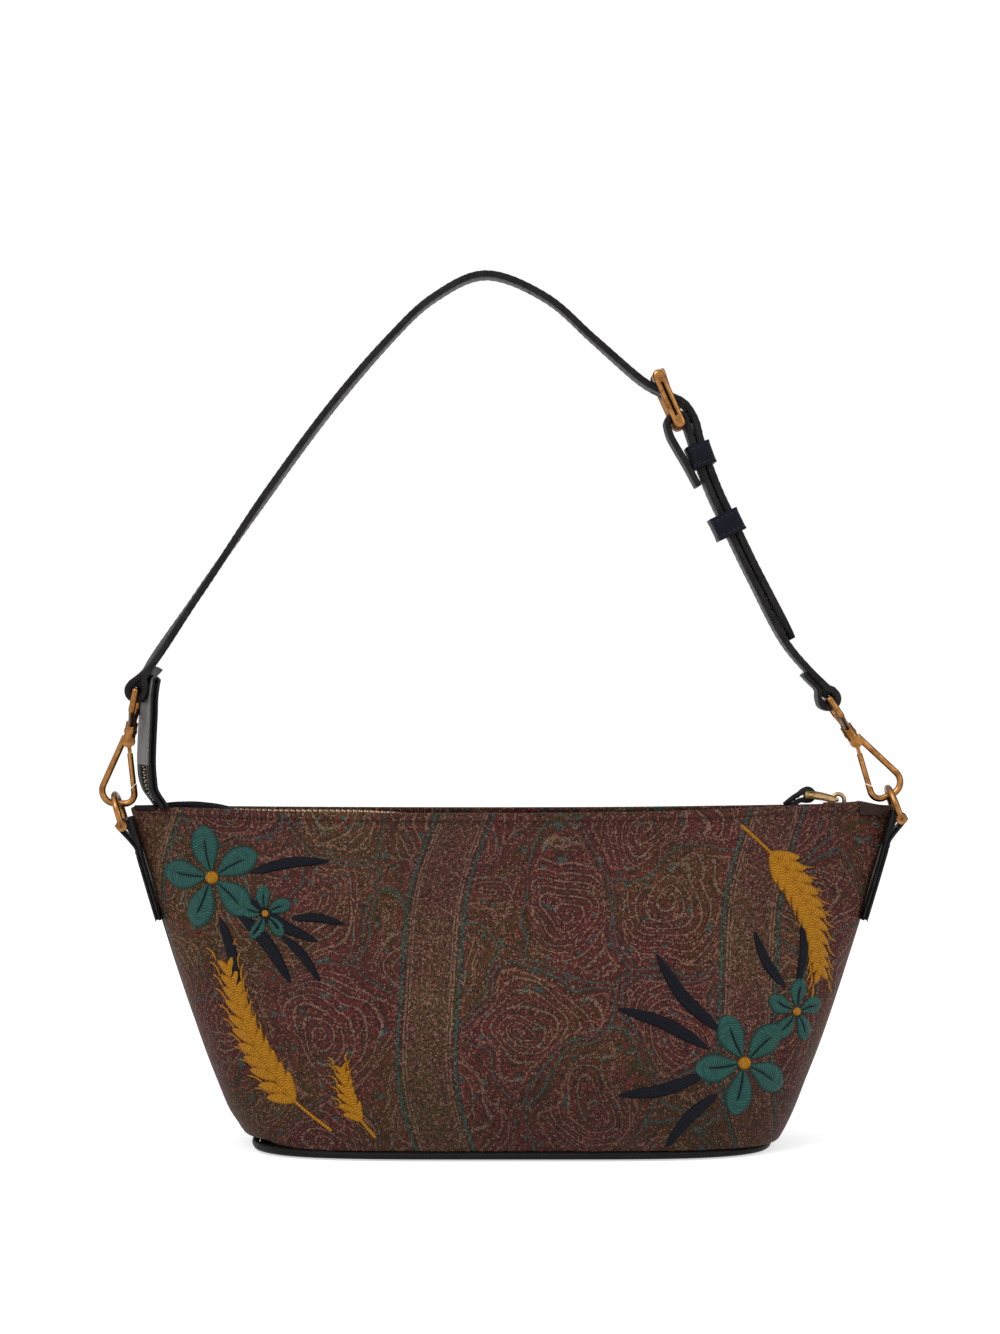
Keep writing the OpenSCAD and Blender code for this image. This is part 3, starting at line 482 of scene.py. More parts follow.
def wall_rows(rows, q, back=False):
    """Points and flat coordinates of a wall; rows are (height, inset, swell)."""
    soft = mm(settings("body").soft)
    points, flat = [], []
    for z, inset, swell in rows:
        s = z / MOUTH_Z
        x, y, half = outline_at(s, inset, q)
        d = np.stack([np.gradient(x), np.gradient(y)], axis=1)
        d /= np.linalg.norm(d, axis=1)[:, None]
        u, from_seam = q * half, (1 - np.abs(q)) * half
        # waves and swell push the wall outwards, and it is drawn in at the seams
        push = waves(u + (BACK_SHIFT if back else 0), z) * soft * ease(from_seam / 10) + swell
        push = push - 0.45 * np.exp(-(from_seam / 1.1) ** 2)
        x2, y2 = x + d[:, 1] * push, np.minimum(y - d[:, 0] * push, 0)
        y2[0], y2[-1] = min(y[0], 0), min(y[-1], 0)
        # the mouth's edge sags, and the front's lower left corner lifts off the base
        lift = lift_at(x2) * (0.45 if back else 1.0) * ease((s - 0.74) / 0.25)
        foot = 2.4 * ease((-q - 0.60) / 0.14) * ease((16 - z) / 12) * ease((1.0 + q) / 0.05) * (not back)
        points.append(np.stack([x2, y2, z + lift + foot], axis=1))
        flat.append(np.stack([u, np.full(len(u), z)], axis=1))
    points, flat = np.array(points), np.array(flat)
    if back:
        points[:, :, 1] *= -1
        flat[:, :, 0] = BACK_START - flat[:, :, 0]
    return points, flat


def shell_rows():
    """Rows of the cloth shell: up the outer face, over the turned edge and down the inner face."""
    b = settings("body")
    t, hem, top = mm(b.shell_t), MOUTH_Z - mm(b.hem), MOUTH_Z
    rows = [(FOOT_Z, 0.9, 0), (FOOT_Z + 0.15, 0.35, 0), (FOOT_Z + 0.6, 0.05, 0)]
    rows += [(z, 0, 0) for z in np.linspace(FOOT_Z + 1.6, hem - 0.9, 44)]
    rows += [(hem - 0.35, 0, -0.05), (hem, 0, -0.3), (hem + 0.3, 0, 0.12), (hem + 0.8, 0, 0.3),
             (top - mm(b.hem) / 2, 0, 0.3), (top - t / 2 - 0.3, 0, 0.2)]
    rows += [(top - t / 2 + t / 2 * math.sin(a), t / 2 - t / 2 * math.cos(a), 0.12 * (1 - a / math.pi))
             for a in np.linspace(0, math.pi, 9)]
    rows += [(z, t, 0) for z in np.linspace(top - t / 2 - 0.6, FOOT_Z + 0.4, 26)]
    return rows


def wall_piece(name, rows, q, material, replaces, back):
    """A closed wall of cloth or leather: rows go once round its thickness."""
    points, flat = wall_rows(rows, q, back)
    count, cols = points.shape[:2]
    faces = grid_faces(count, cols, wrap_rows=True)
    faces += [tuple(j * cols for j in range(count)), tuple(j * cols + cols - 1 for j in range(count))[::-1]]
    piece(name, points.reshape(-1, 3), faces, finish(material), "bag", replaces, uv=flat.reshape(-1, 2))


def shares(count, gather=0.55):
    """Shares from -1 to 1, closer together towards the seams."""
    t = np.linspace(-1, 1, count)
    return t * (1 - gather) + np.sin(t * math.pi / 2) * gather


class Surface:
    """The outer face of the front as a surface over its flat coordinates, for what is sewn on it."""

    def __init__(self):
        self.q = np.linspace(-1, 1, 401)
        self.z = np.linspace(FOOT_Z + 0.6, MOUTH_Z - 1.2, 121)
        self.points, _ = wall_rows([(z, 0, 0) for z in self.z], self.q)
        self.half = np.array([outline_at(z / MOUTH_Z, 0, [0])[2] for z in self.z])
        n = np.cross(np.gradient(self.points, axis=1), np.gradient(self.points, axis=0))
        self.normals = n / np.linalg.norm(n, axis=2)[:, :, None]

    def at(self, u, v, height=0.0):
        """Points above the surface at flat places u, v, by a height for each."""
        u, v = np.asarray(u, float), np.asarray(v, float)
        half = np.interp(v, self.z, self.half)
        j = np.clip((v - self.z[0]) / (self.z[1] - self.z[0]), 0, len(self.z) - 1.001)
        i = np.clip((u / half + 1) / (self.q[1] - self.q[0]), 0, len(self.q) - 1.001)
        j0, i0 = j.astype(int), i.astype(int)
        fj, fi = (j - j0)[..., None], (i - i0)[..., None]

        def mixed(g):
            return ((g[j0, i0] * (1 - fi) + g[j0, i0 + 1] * fi) * (1 - fj)
                    + (g[j0 + 1, i0] * (1 - fi) + g[j0 + 1, i0 + 1] * fi) * fj)
        n = mixed(self.normals)
        n /= np.linalg.norm(n, axis=-1)[..., None]
        return mixed(self.points) + n * np.asarray(height, float)[..., None]


# ---------------------------------------------------------------- materials

class Wire:
    """An output of a node, which can be used in sums."""

    def __init__(self, net, socket):
        self.net, self.socket = net, socket

    def __abs__(self):
        return self.net.math("ABSOLUTE", self)


for sign, kind in (("add", "ADD"), ("sub", "SUBTRACT"), ("mul", "MULTIPLY"), ("truediv", "DIVIDE"),
                   ("mod", "MODULO"), ("gt", "GREATER_THAN"), ("lt", "LESS_THAN")):
    setattr(Wire, f"__{sign}__", lambda a, b, kind=kind: a.net.math(kind, a, b))
for sign, kind in (("rsub", "SUBTRACT"), ("rtruediv", "DIVIDE")):
    setattr(Wire, f"__{sign}__", lambda a, b, kind=kind: a.net.math(kind, b, a))


class Net:
    """A short way to write a shader tree."""

    def __init__(self, tree):
        self.tree = tree

    def add(self, kind, **values):
        node = self.tree.nodes.new(kind)
        for key, value in values.items():
            setattr(node, key, value)
        return node

    def put(self, value, socket):
        if isinstance(value, Wire):
            self.tree.links.new(value.socket, socket)
        elif value is not None:
            socket.default_value = value

    def fed(self, node, *values, out=0):
        """One output of a node whose first inputs get the values."""
        for value, socket in zip(values, node.inputs):
            self.put(value, socket)
        return Wire(self, node.outputs[out])

    def filled(self, node, **values):
        """All outputs of a node, by name, whose named inputs get the values."""
        for key, value in values.items():
            self.put(value, node.inputs[key.replace("_", " ")])
        return {socket.name: Wire(self, socket) for socket in node.outputs}

    def math(self, operation, *values, clamp=False):
        return self.fed(self.add("ShaderNodeMath", operation=operation, use_clamp=clamp), *values)

    def dome(self, value):
        """Half a wave from one whole number to the next."""
        return self.math("SINE", self.math("FRACT", value) * math.pi)

    def vec(self, operation, *values, out=0):
        return self.fed(self.add("ShaderNodeVectorMath", operation=operation), *values, out=out)

    def scaled(self, vector, factor):
        node = self.add("ShaderNodeVectorMath", operation="SCALE")
        self.put(factor, node.inputs["Scale"])
        return self.fed(node, vector)

    def split(self, vector):
        node = self.add("ShaderNodeSeparateXYZ")
        self.put(vector, node.inputs[0])
        return [Wire(self, socket) for socket in node.outputs]

    def join(self, x, y, z=0.0):
        return self.fed(self.add("ShaderNodeCombineXYZ"), x, y, z)

    def noise(self, vector, scale, detail=2.0, rough=0.5, out=0):
        node = self.add("ShaderNodeTexNoise")
        self.filled(node, Vector=vector, Scale=scale, Detail=detail, Roughness=rough)
        return Wire(self, node.outputs[out])

    def cells(self, vector, scale, feature="F1", loose=1.0, flat=False):
        node = self.add("ShaderNodeTexVoronoi", feature=feature, voronoi_dimensions="2D" if flat else "3D")
        return self.filled(node, Vector=vector, Scale=scale, Randomness=loose)

    def chance(self, vector):
        """A random value and a random colour for each place."""
        node = self.add("ShaderNodeTexWhiteNoise", noise_dimensions="3D")
        return self.filled(node, Vector=vector).values()

    def span(self, value, low, high, to_low=0.0, to_high=1.0, soft=False):
        node = self.add("ShaderNodeMapRange", interpolation_type="SMOOTHSTEP" if soft else "LINEAR")
        return self.fed(node, value, low, high, to_low, to_high)

    def mix(self, factor, a, b):
        node = self.add("ShaderNodeMix", data_type="RGBA")
        node.clamp_factor = True
        for value, socket in ((factor, 0), (a, 6), (b, 7)):
            self.put(value if socket == 0 or isinstance(value, Wire) else (*value, 1), node.inputs[socket])
        return Wire(self, node.outputs[2])

    def use(self, build, **values):
        """The outputs of the shader group that a function builds, which is made once."""
        name = build.__name__.replace("_", " ").capitalize()
        group = bpy.data.node_groups.get(name) or build(name)
        return self.filled(self.add("ShaderNodeGroup", node_tree=group), **values)

    def mark(self, name):
        """The value that a mesh holds under a name."""
        return Wire(self, self.add("ShaderNodeAttribute", attribute_name=name).outputs["Fac"])

    def object_mm(self):
        return self.scaled(Wire(self, self.add("ShaderNodeTexCoord").outputs["Object"]), 1 / MM)

    def flat_mm(self):
        return self.scaled(Wire(self, self.add("ShaderNodeUVMap", uv_map="flat").outputs[0]), 1 / MM)

    def bump(self, height, distance, strength=1.0):
        node = self.add("ShaderNodeBump")
        self.filled(node, Height=height, Distance=distance * MM, Strength=strength)
        return Wire(self, node.outputs[0])

    def seen(self):
        """One for rays from the camera and for what metal mirrors, nought for the rest."""
        path = self.filled(self.add("ShaderNodeLightPath"))
        mirrored = self.math("MAXIMUM", path["Is Glossy Ray"], path["Is Transmission Ray"])
        return self.math("MAXIMUM", path["Is Camera Ray"], mirrored)


def shader_group(**inputs):
    """Turns a function that works out masks and heights into one that makes the shader group of its name.
    An input with no default is a vector."""
    def made_by(fill):
        def build(name):
            tree = bpy.data.node_groups.new(name, "ShaderNodeTree")
            for label, default in inputs.items():
                kind = "NodeSocketVector" if default is None else "NodeSocketFloat"
                socket = tree.interface.new_socket(label, in_out="INPUT", socket_type=kind)
                if default is not None:
                    socket.default_value = default
            net = Net(tree)
            results = fill(net, net.filled(net.add("NodeGroupInput")))
            for label in results:
                tree.interface.new_socket(label, in_out="OUTPUT", socket_type="NodeSocketFloat")
            net.filled(net.add("NodeGroupOutput"), **results)
            return tree
        build.__name__ = fill.__name__
        return build
    return made_by


@shader_group(Vector=None, Thread=0.43)
def thread_cells(net, given):
    """Woven threads: two random values and a small height for each crossing."""
    gauge = given["Thread"]
    x, y, _ = net.split(net.vec("DIVIDE", given["Vector"], net.join(gauge, gauge, 1.0)))
    row = net.math("FLOOR", y)
    x = x + row % 2.0 * 0.5
    value, hue = net.chance(net.join(net.math("FLOOR", x), row, 3.0))
    return {"Pick": value, "Second": net.split(hue)[1], "Height": net.dome(x) * net.dome(y) * (value + 0.5)}


@shader_group(Vector=None, Cell=40.0)
def scrollwork(net, given):
    """Generic woven ornament on flat millimetres: scrolls inside parallel outlines, rosettes and curved bands."""
    flat, cell = given["Vector"], given["Cell"]

    def sine(value):
        return net.math("SINE", value)

    def line(distance, half):
        return net.span(abs(distance), half * 0.5, half * 1.5, 1.0, 0.0, True)

    def repeat(value, step):
        return (net.math("FRACT", value / step) - 0.5) * step

    def most(first, *others):
        for other in others:
            first = net.math("MAXIMUM", first, other)
        return first

    def polar(place, near):
        x, y, _ = net.split(net.vec("SUBTRACT", place, near["Position"]))
        return net.math("SQRT", x * x + y * y), net.math("ARCTAN2", y, x)

    def scattered(shift, apart, loose, count, deep):
        """Small petalled forms scattered over the cloth: the distance of each, and its random values."""
        place = net.vec("ADD", bent, shift)
        near = net.cells(place, 1 / apart, "F1", loose, True)
        far, angle = polar(place, near)
        return far * (sine(angle * count) * deep + 1.0), net.split(near["Color"])

    bend = net.vec("SUBTRACT", net.noise(net.scaled(flat, 0.028), 1.0, 1.5, 0.5, 1), (0.5, 0.5, 0.5))
    bent = net.vec("MULTIPLY", net.vec("ADD", flat, net.scaled(bend, 34.0)), (1.0, 1.0, 0.0))
    density = 1.0 / cell
    near = net.cells(bent, density, "F1", 0.85, True)
    rim = net.cells(bent, density, "DISTANCE_TO_EDGE", 0.85, True)["Distance"] * cell
    far, angle = polar(bent, near)
    luck, luck2, luck3 = net.split(near["Color"])
    border = luck2 * 4.5
    # scrolls: one winding line with beads along it, inside a border of a width that differs
    turn = angle / (2 * math.pi) * net.math("SIGN", luck - 0.5)
    wind = repeat(far + turn * 3.3, 3.3)
    inside = net.span(rim - (border + 3.2), 0.0, 0.8)
    scroll = line(wind, 0.3) * inside
    between = line(abs(wind) - 1.5, 0.3) * (sine(angle * (far * 3.2)) > -0.45) * inside
    # borders: outlines with small scallops that follow the cells
    scallop = abs(sine(angle * 17.0)) * 0.7
    outline = line(repeat(rim + scallop, 2.6), 0.3) * (1.0 - inside)
    inner = line(rim - scallop - (border + 2.6), 0.35)
    # rosettes and sprigs
    flower, chance = scattered((17.0, 5.0, 0.0), 12.5, 0.85, 6.0, 0.22)
    has = chance[0] > 0.58
    rose = (line(flower - 3.6, 0.32) + line(flower - 1.9, 0.3)) * has
    core = (flower < 0.9) * has
    sprig, chance = scattered((3.0, 8.0, 0.0), 6.5, 0.7, 4.0, 0.35)
    dot = (sprig < 0.85) * (chance[1] > 0.6)
    # curved upright bands, each with a row of small rings between scalloped edges
    x, y, _ = net.split(flat)
    across = repeat(x + (sine(y / 34.0) * 9.0 + sine(y / 13.0) * 1.6) + 436.0, 118.0)
    half = abs(across)
    band = net.span(half, 8.2, 9.2, 1.0, 0.0)
    teal_edge = line(half + abs(sine(y * 1.15)) * 1.1 - 11.4, 0.55)
    red_edge = line(half - 12.6, 0.32)
    rail = line(half - 8.6, 0.3) + line(half - 7.4, 0.25)
    place = net.join(across, y)
    far, angle = polar(place, net.cells(place, 1 / 6.8, "F1", 0.5, True))
    curl = repeat(far + angle / (2 * math.pi / 2.1), 2.1)
    ring = line(curl, 0.22) * (band * (half < 6.9))
    ring_core = (far < 0.6) * band
    clear = 1.0 - net.span(half, 11.5, 12.2, 1.0, 0.0)
    contour = line(rim - 1.2, 0.3) * (luck3 > 0.55) * clear
    tone = net.noise(net.scaled(flat, 0.022), 1.0, 3.0) + (luck2 - 0.5) * 0.22
    return {"Pale line": most(most(scroll, inner * 0.8) * clear, ring * 0.4, rail),
            "Red line": most(most(outline, between, rose) * clear, ring * 0.6, red_edge, ring_core),
            "Teal line": most(teal_edge, most(core, dot) * clear, contour),
            "Tone": net.span(tone, 0.38, 0.62), "Band": band}


@shader_group(Vector=None, Grain=0.6)
def hide_grain(net, given):
    """Fine leather grain: a height and a tone."""
    vector = net.vec("DIVIDE", given["Vector"], net.join(*[given["Grain"]] * 3))
    warped = net.vec("ADD", vector, net.scaled(net.noise(vector, 0.6, 1.0, 0.5, 1), 0.7))
    pore = net.span(net.cells(warped, 1.0, "DISTANCE_TO_EDGE")["Distance"], 0.0, 0.22, 0.0, 1.0, True)
    return {"Height": pore * 0.7 + net.noise(vector, 2.4, 2.0) * 0.3, "Tone": net.noise(vector, 0.09, 3.0, 0.6)}


@shader_group(Vector=None, Edge=0.0, Amount=0.3)
def edge_wear(net, given):
    """Rubbing along marked edges, broken up by noise."""
    rubbed = net.span(net.noise(given["Vector"], 0.35, 4.0, 0.7) + given["Amount"] * 0.25, 0.5, 0.72)
    return {"Mask": net.math("MULTIPLY", given["Edge"], rubbed, clamp=True)}


@shader_group(Vector=None, Gauge=0.36, Slant=0.35)
def thread_lay(net, given):
    """Threads laid side by side, on flat millimetres turned by a slant."""
    x, y, _ = net.split(given["Vector"])
    run = x + abs(y) * given["Slant"] + net.noise(given["Vector"], 0.7, 1.0) * 0.5
    at = run / given["Gauge"]
    strand, _ = net.chance(net.join(net.math("FLOOR", at), net.math("FLOOR", y * 0.35), 1.0))
    return {"Height": net.dome(at), "Tone": strand}


MADE = {}


def look(fill):
    """Turns a function that works out a shader's inputs into one that gives the material of a name, made once."""
    def material_of(name, *tones, **options):
        if name not in MADE:
            material = MADE[name] = bpy.data.materials.new(name + "_look")
            material.use_nodes = True
            material.node_tree.nodes.clear()
            net = Net(material.node_tree)
            shader = net.add("ShaderNodeBsdfPrincipled")
            net.put(Wire(net, shader.outputs[0]), net.add("ShaderNodeOutputMaterial").inputs[0])
            for key, value in fill(net, *tones, **options).items():
                net.put(value, shader.inputs[key])
        return MADE[name]
    return material_of


def tint(tone, factor, add=0.0):
    """A colour made lighter or darker."""
    return tuple(min(1, v * factor + add) for v in tone)


@look
def cloth_look(net):
    """Coated woven cloth: burgundy and olive ground under broken lines of the pattern."""
    c = settings("cloth")
    flat, place = net.flat_mm(), net.object_mm()
    threads = net.use(thread_cells, Vector=flat, Thread=mm(c.thread))
    lines = net.use(scrollwork, Vector=flat, Cell=mm(c.cell))
    pick = threads["Pick"]
    ground = net.mix(lines["Tone"], c.ground, c.olive)
    ground = net.mix(lines["Band"] * 0.07, ground, c.pale)
    ground = net.mix(net.span(pick, 0.0, 0.66, 1.0, 0.0), ground, c.deep)
    ground = net.mix((threads["Second"] > 0.93) * 0.62, ground, c.pale)
    shows = net.span(pick, 0.2, 0.5, 0.12, 1.0)
    for line, tone, depth in (("Red line", c.red, 0.62), ("Teal line", c.teal, 0.85), ("Pale line", c.pale, 0.46)):
        ground = net.mix(lines[line] * shows * depth, ground, tone)
    ground = net.mix(net.span(net.noise(place, 0.018, 3.0), 0.4, 0.75, 0.0, 0.3), ground, c.deep)
    # painted shade: the cloth darkens towards the base
    ground = net.mix(net.span(net.split(place)[2], 2.0, 48.0, 0.34, 0.0), ground, c.deep)
    return {"Base Color": ground, "Roughness": net.span(pick, 0.0, 1.0, 0.5, 0.64), "Specular IOR Level": 0.1,
            "Normal": net.bump(threads["Height"], 0.07, 0.8)}


@look
def leather(net, tone, grain=0.62, under=None):
    """Grained leather, rubbed along its marked edges, with another tone on its marked underside."""
    place, edge, rough = net.object_mm(), net.mark("edge"), 0.5
    hide = net.use(hide_grain, Vector=place, Grain=grain)
    worn = net.use(edge_wear, Vector=place, Edge=edge, Amount=settings("finish").wear)
    base = net.mix(net.span(hide["Tone"], 0.35, 0.65, 0.0, 0.5), tone, tint(tone, 1.8, 0.002))
    if under is not None:
        base = net.mix(net.mark("under"), base, under)
    return {"Base Color": net.mix(worn["Mask"] * 0.5, base, tint(tone, 2.4, 0.012)),
            "Roughness": net.span(hide["Tone"], 0.3, 0.7, rough - 0.06, rough + 0.07) - edge * 0.08,
            "Specular IOR Level": 0.09, "Normal": net.bump(hide["Height"] * (1.0 - edge * 0.75), 0.05, 0.7)}


@look
def woven(net, tone, pitch):
    """Plain woven cloth or tape, on object millimetres."""
    place, rough = net.object_mm(), 0.8
    x, y, z = net.split(place)
    wave = 2 * math.pi / pitch
    weave = net.math("SINE", x * wave) * net.math("SINE", (y + z) * wave)
    haze = net.noise(place, 0.12, 3.0)
    base = net.mix(net.span(weave, -1.0, 1.0, 0.0, 0.35), tone, tint(tone, 0.45))
    base = net.mix(net.span(haze, 0.35, 0.7, 0.0, 0.3), base, tint(tone, 1.25))
    return {"Base Color": base, "Roughness": net.span(haze, 0.3, 0.7, rough - 0.08, rough + 0.08),
            "Specular IOR Level": 0.08, "Normal": net.bump(weave, 0.06, 0.8)}


@look
def satin(net, tone, gauge=0.95):
    """Satin stitch: strands side by side along a form, with painted shade in the valleys between strands and towards
    the form's rim.
    """
    lay = net.use(thread_lay, Vector=net.flat_mm(), Gauge=gauge)
    base = net.mix(net.span(lay["Tone"], 0.0, 1.0, 0.0, 0.6), tone, tint(tone, 0.55))
    # painted shade in the valleys between strands
    base = net.mix(net.span(lay["Height"], 0.0, 0.6, 0.75, 0.0), base, tint(tone, 0.18))
    # painted shade towards the form's rim
    base = net.mix(net.span(net.mark("rim"), 0.72, 1.0, 0.0, 0.85), base, tint(tone, 0.14))
    return {"Base Color": base, "Roughness": net.span(lay["Tone"], 0.0, 1.0, 0.45, 0.6), "Specular IOR Level": 0.12,
            "Sheen Weight": 0.06, "Sheen Roughness": 0.4, "Normal": net.bump(lay["Height"], 0.28)}


@look
def sewing_thread(net, tone):
    """Twisted sewing thread, on object millimetres, with a painted highlight along the crests of the twist."""
    x, y, z = net.split(net.object_mm())
    twist = net.math("SINE", (x + (y + z)) * 14.0)
    # painted highlight on the crests of the twist
    base = net.mix(net.span(twist, -1.0, 1.0, 0.0, 0.5), tone, tint(tone, 2.2, 0.01))
    return {"Base Color": base, "Roughness": 0.6, "Specular IOR Level": 0.1, "Normal": net.bump(twist, 0.03, 0.8)}


@look
def metal(net, tone, rough):
    """Aged metal: blotches of patina, painted shade on the faces that look down, back and right, a painted highlight on
    the faces that look up, left and front, a painted dark reflection along rims that turn from view, and dark in marked
    grooves.
    """
    place, groove = net.object_mm(), net.mark("groove")
    patina = net.noise(place, 0.30, 4.0, 0.6)
    brushed = net.noise(place, 3.2, 2.0, 0.6)
    normal = Wire(net, net.add("ShaderNodeTexCoord").outputs["Normal"])
    away_from_light = net.vec("DOT_PRODUCT", normal, (0.52, 0.25, -0.82), out=1)
    away = net.filled(net.add("ShaderNodeLayerWeight"), Blend=0.5)["Facing"]
    dark = tuple(v * k for v, k in zip(tone, (0.34, 0.28, 0.20)))
    base = net.mix(net.span(patina, 0.40, 0.64, 0.0, 0.8), tone, dark)
    # painted shade on the faces that look down, back and right
    base = net.mix(net.span(away_from_light, -0.35, 0.45, 0.0, 0.9), base, dark)
    # painted highlight on the faces that look up, left and front
    base = net.mix(net.span(away_from_light, -0.95, -0.45, 0.8, 0.0), base, tint(tone, 1.9))
    # painted dark reflection: darker along rims where the surface turns from view
    base = net.mix(net.span(away, 0.12, 0.6, 0.0, 0.9), base, tint(dark, 0.3))
    return {"Base Color": net.mix(groove, base, (0.012, 0.007, 0.004)), "Metallic": 1.0,
            "Roughness": net.span(patina, 0.3, 0.7, rough - 0.05, rough + 0.12) + brushed * 0.06,
            "Normal": net.bump(brushed, 0.008, 0.5)}


@look
def pressed_board(net):
    """Pressed board with flecks of fibre."""
    fleck = net.noise(net.vec("MULTIPLY", net.object_mm(), (0.6, 2.4, 2.4)), 0.5, 4.0, 0.7)
    return {"Base Color": net.mix(net.span(fleck, 0.35, 0.65), (0.36, 0.27, 0.17), (0.24, 0.17, 0.10)),
            "Roughness": net.span(fleck, 0.3, 0.7, 0.75, 0.92), "Normal": net.bump(fleck, 0.08, 0.6)}


def finish(name):
    """The material of one of the bag's own finishes."""
    f, cloth, thread = settings("finish"), settings("cloth"), settings("thread")
    kinds = {
        "coated_cloth": lambda: cloth_look(name),
        "black_leather": lambda: leather(name, f.black),
        "strap_leather": lambda: leather(name, f.black, under=f.under),
        "tail_leather": lambda: leather(name, f.black, under=f.tail),
        "brown_leather": lambda: leather(name, f.brown, grain=0.7),
        "navy_leather": lambda: leather(name, f.navy, grain=0.8),
        "facing_leather": lambda: leather(name, (0.020, 0.0135, 0.0105), grain=0.7),
        "lining_cloth": lambda: woven(name, cloth.lining, 0.5),
        "zip_tape": lambda: woven(name, (0.0075, 0.007, 0.007), 0.8),
        "gold_thread": lambda: satin(name, thread.gold),
        "teal_thread": lambda: satin(name, thread.teal),
        "navy_thread_satin": lambda: satin(name, thread.navy, 0.42),
        "sewing_thread": lambda: sewing_thread(name, thread.sewing),
        "cloth_thread": lambda: sewing_thread(name, (0.035, 0.016, 0.012)),
        "navy_thread": lambda: sewing_thread(name, (0.03, 0.035, 0.055)),
        "gold_metal": lambda: metal(name, f.gold, f.roughness),
        "zip_metal": lambda: metal(name, f.zip_gold, f.roughness + 0.06),
        "board": lambda: pressed_board(name),
    }
    return kinds[name]()


# ---------------------------------------------------------------- Geometry Nodes

def run_tree(name, shaped):
    """A tree that lays one small shape along every line of a mesh: stitches, or the teeth of a zip."""
    tree = bpy.data.node_groups.new(name, "GeometryNodeTree")
    keys = {}
    for label, kind in (("Geometry", "Geometry"), ("Pitch", "Float"), ("Length", "Float"), ("Gauge", "Float"),
                        ("Shape", "Object"), ("Material", "Material")):
        keys[label] = tree.interface.new_socket(label, in_out="INPUT", socket_type="NodeSocket" + kind).identifier
    tree.interface.new_socket("Geometry", in_out="OUTPUT", socket_type="NodeSocketGeometry")
    node, link = tree.nodes.new, tree.links.new
    given, out = node("NodeGroupInput").outputs, node("NodeGroupOutput")
    to_curve, resample = node("GeometryNodeMeshToCurve"), node("GeometryNodeResampleCurve")
    resample.mode = "LENGTH"
    place, real = node("GeometryNodeInstanceOnPoints"), node("GeometryNodeRealizeInstances")
    align, tangent = node("FunctionNodeAlignRotationToVector"), node("GeometryNodeInputTangent")
    align.axis = "X"
    paint, soft = node("GeometryNodeSetMaterial"), node("GeometryNodeSetShadeSmooth")
    link(given["Geometry"], to_curve.inputs[0])
    link(to_curve.outputs[0], resample.inputs["Curve"])
    link(given["Pitch"], resample.inputs["Length"])
    link(resample.outputs[0], place.inputs["Points"])
    link(tangent.outputs[0], align.inputs["Vector"])
    link(align.outputs[0], place.inputs["Rotation"])
    if shaped:
        info = node("GeometryNodeObjectInfo")
        link(given["Shape"], info.inputs["Object"])
        link(info.outputs["Geometry"], place.inputs["Instance"])
    else:
        ball, scale = node("GeometryNodeMeshUVSphere"), node("ShaderNodeCombineXYZ")
        for key, value in (("Segments", 8), ("Rings", 5), ("Radius", 0.5)):
            ball.inputs[key].default_value = value
        link(ball.outputs["Mesh"], place.inputs["Instance"])
        for key, socket in zip(("Length", "Gauge", "Gauge"), scale.inputs):
            link(given[key], socket)
        link(scale.outputs[0], place.inputs["Scale"])
    link(place.outputs[0], real.inputs[0])
    link(real.outputs[0], soft.inputs["Geometry"])
    link(soft.outputs[0], paint.inputs["Geometry"])
    link(given["Material"], paint.inputs["Material"])
    link(paint.outputs[0], out.inputs[0])
    return tree, keys


TREES = {}


def laid(name, lines, material, body, pitch, length=1.0, gauge=1.0, shape=None):
    """Stitches (or a shape) along lines of points in millimetres, as one plain mesh."""
    key = "Zip teeth" if shape else "Stitch run"
    if key not in TREES:
        TREES[key] = run_tree(key, bool(shape))
    tree, keys = TREES[key]
    points, edges = [], []
    for line in lines:
        first = len(points)
        points += list(line)
        edges += [(first + i, first + i + 1) for i in range(len(line) - 1)]
    obj = bpy.data.objects.new(name, raw_mesh(name, points, [], edges))
    bpy.context.scene.collection.objects.link(obj)
    mod = obj.modifiers.new("run", "NODES")
    mod.node_group = tree
    for label, value in (("Pitch", pitch * MM), ("Length", length * MM), ("Gauge", gauge * MM), ("Material", material)):
        mod[keys[label]] = value
    if shape:
        mod[keys["Shape"]] = shape
    applied(obj)
    return finish_piece(obj, body)


def stitches(name, lines, body, material="sewing_thread", gauge=None, pitch=None, length=None):
    t = settings("thread")
    return laid(name, lines, finish(material), body, pitch or mm(t.pitch), length or mm(t.length),
                gauge or mm(t.gauge))


# ---------------------------------------------------------------- body pieces

def build_shell():
    q = shares(217)
    for name, node, back in (("front_shell", "front_panel", False), ("back_shell", "back_panel", True)):
        wall_piece(name, shell_rows(), q, "coated_cloth", [node], back)
    height = MOUTH_Z - mm(settings("body").hem) + 0.75
    lines = [wall_rows([(height, -0.42, 0)], shares(260) * 0.93, back)[0][0] for back in (False, True)]
    stitches("mouth_topstitch", lines, "bag", "cloth_thread", gauge=0.45, pitch=2.6, length=2.0)


MIDDLE = 30  # inset of the last outline, well inside the base


def base_loop(inset, count):
    """Level outline of the base all the way round."""
    x, y, _ = outline_at(0, inset, shares(count)[:-1])
    return [(a, b) for a, b in zip(x, y)] + [(-a, -b) for a, b in zip(x, y)]


def ring_wall(name, rows, material, replaces):
    """A closed body of level outlines all the way round; rows are (height, inset), from below to above."""
    points = []
    for z, inset in rows:
        loop = base_loop(inset, 90)
        points += [(x, y, z) for x, y in loop]
    cols = len(loop)
    faces = grid_faces(len(rows), cols, wrap_cols=True)
    low, high, last = len(points), len(points) + 1, (len(rows) - 1) * cols
    points += [(0, 0, rows[0][0]), (0, 0, rows[-1][0])]
    faces += [(low, (i + 1) % cols, i) for i in range(cols)]
    faces += [(high, last + i, last + (i + 1) % cols) for i in range(cols)]
    return piece(name, points, faces, finish(material), "bag", replaces, sharp=50)


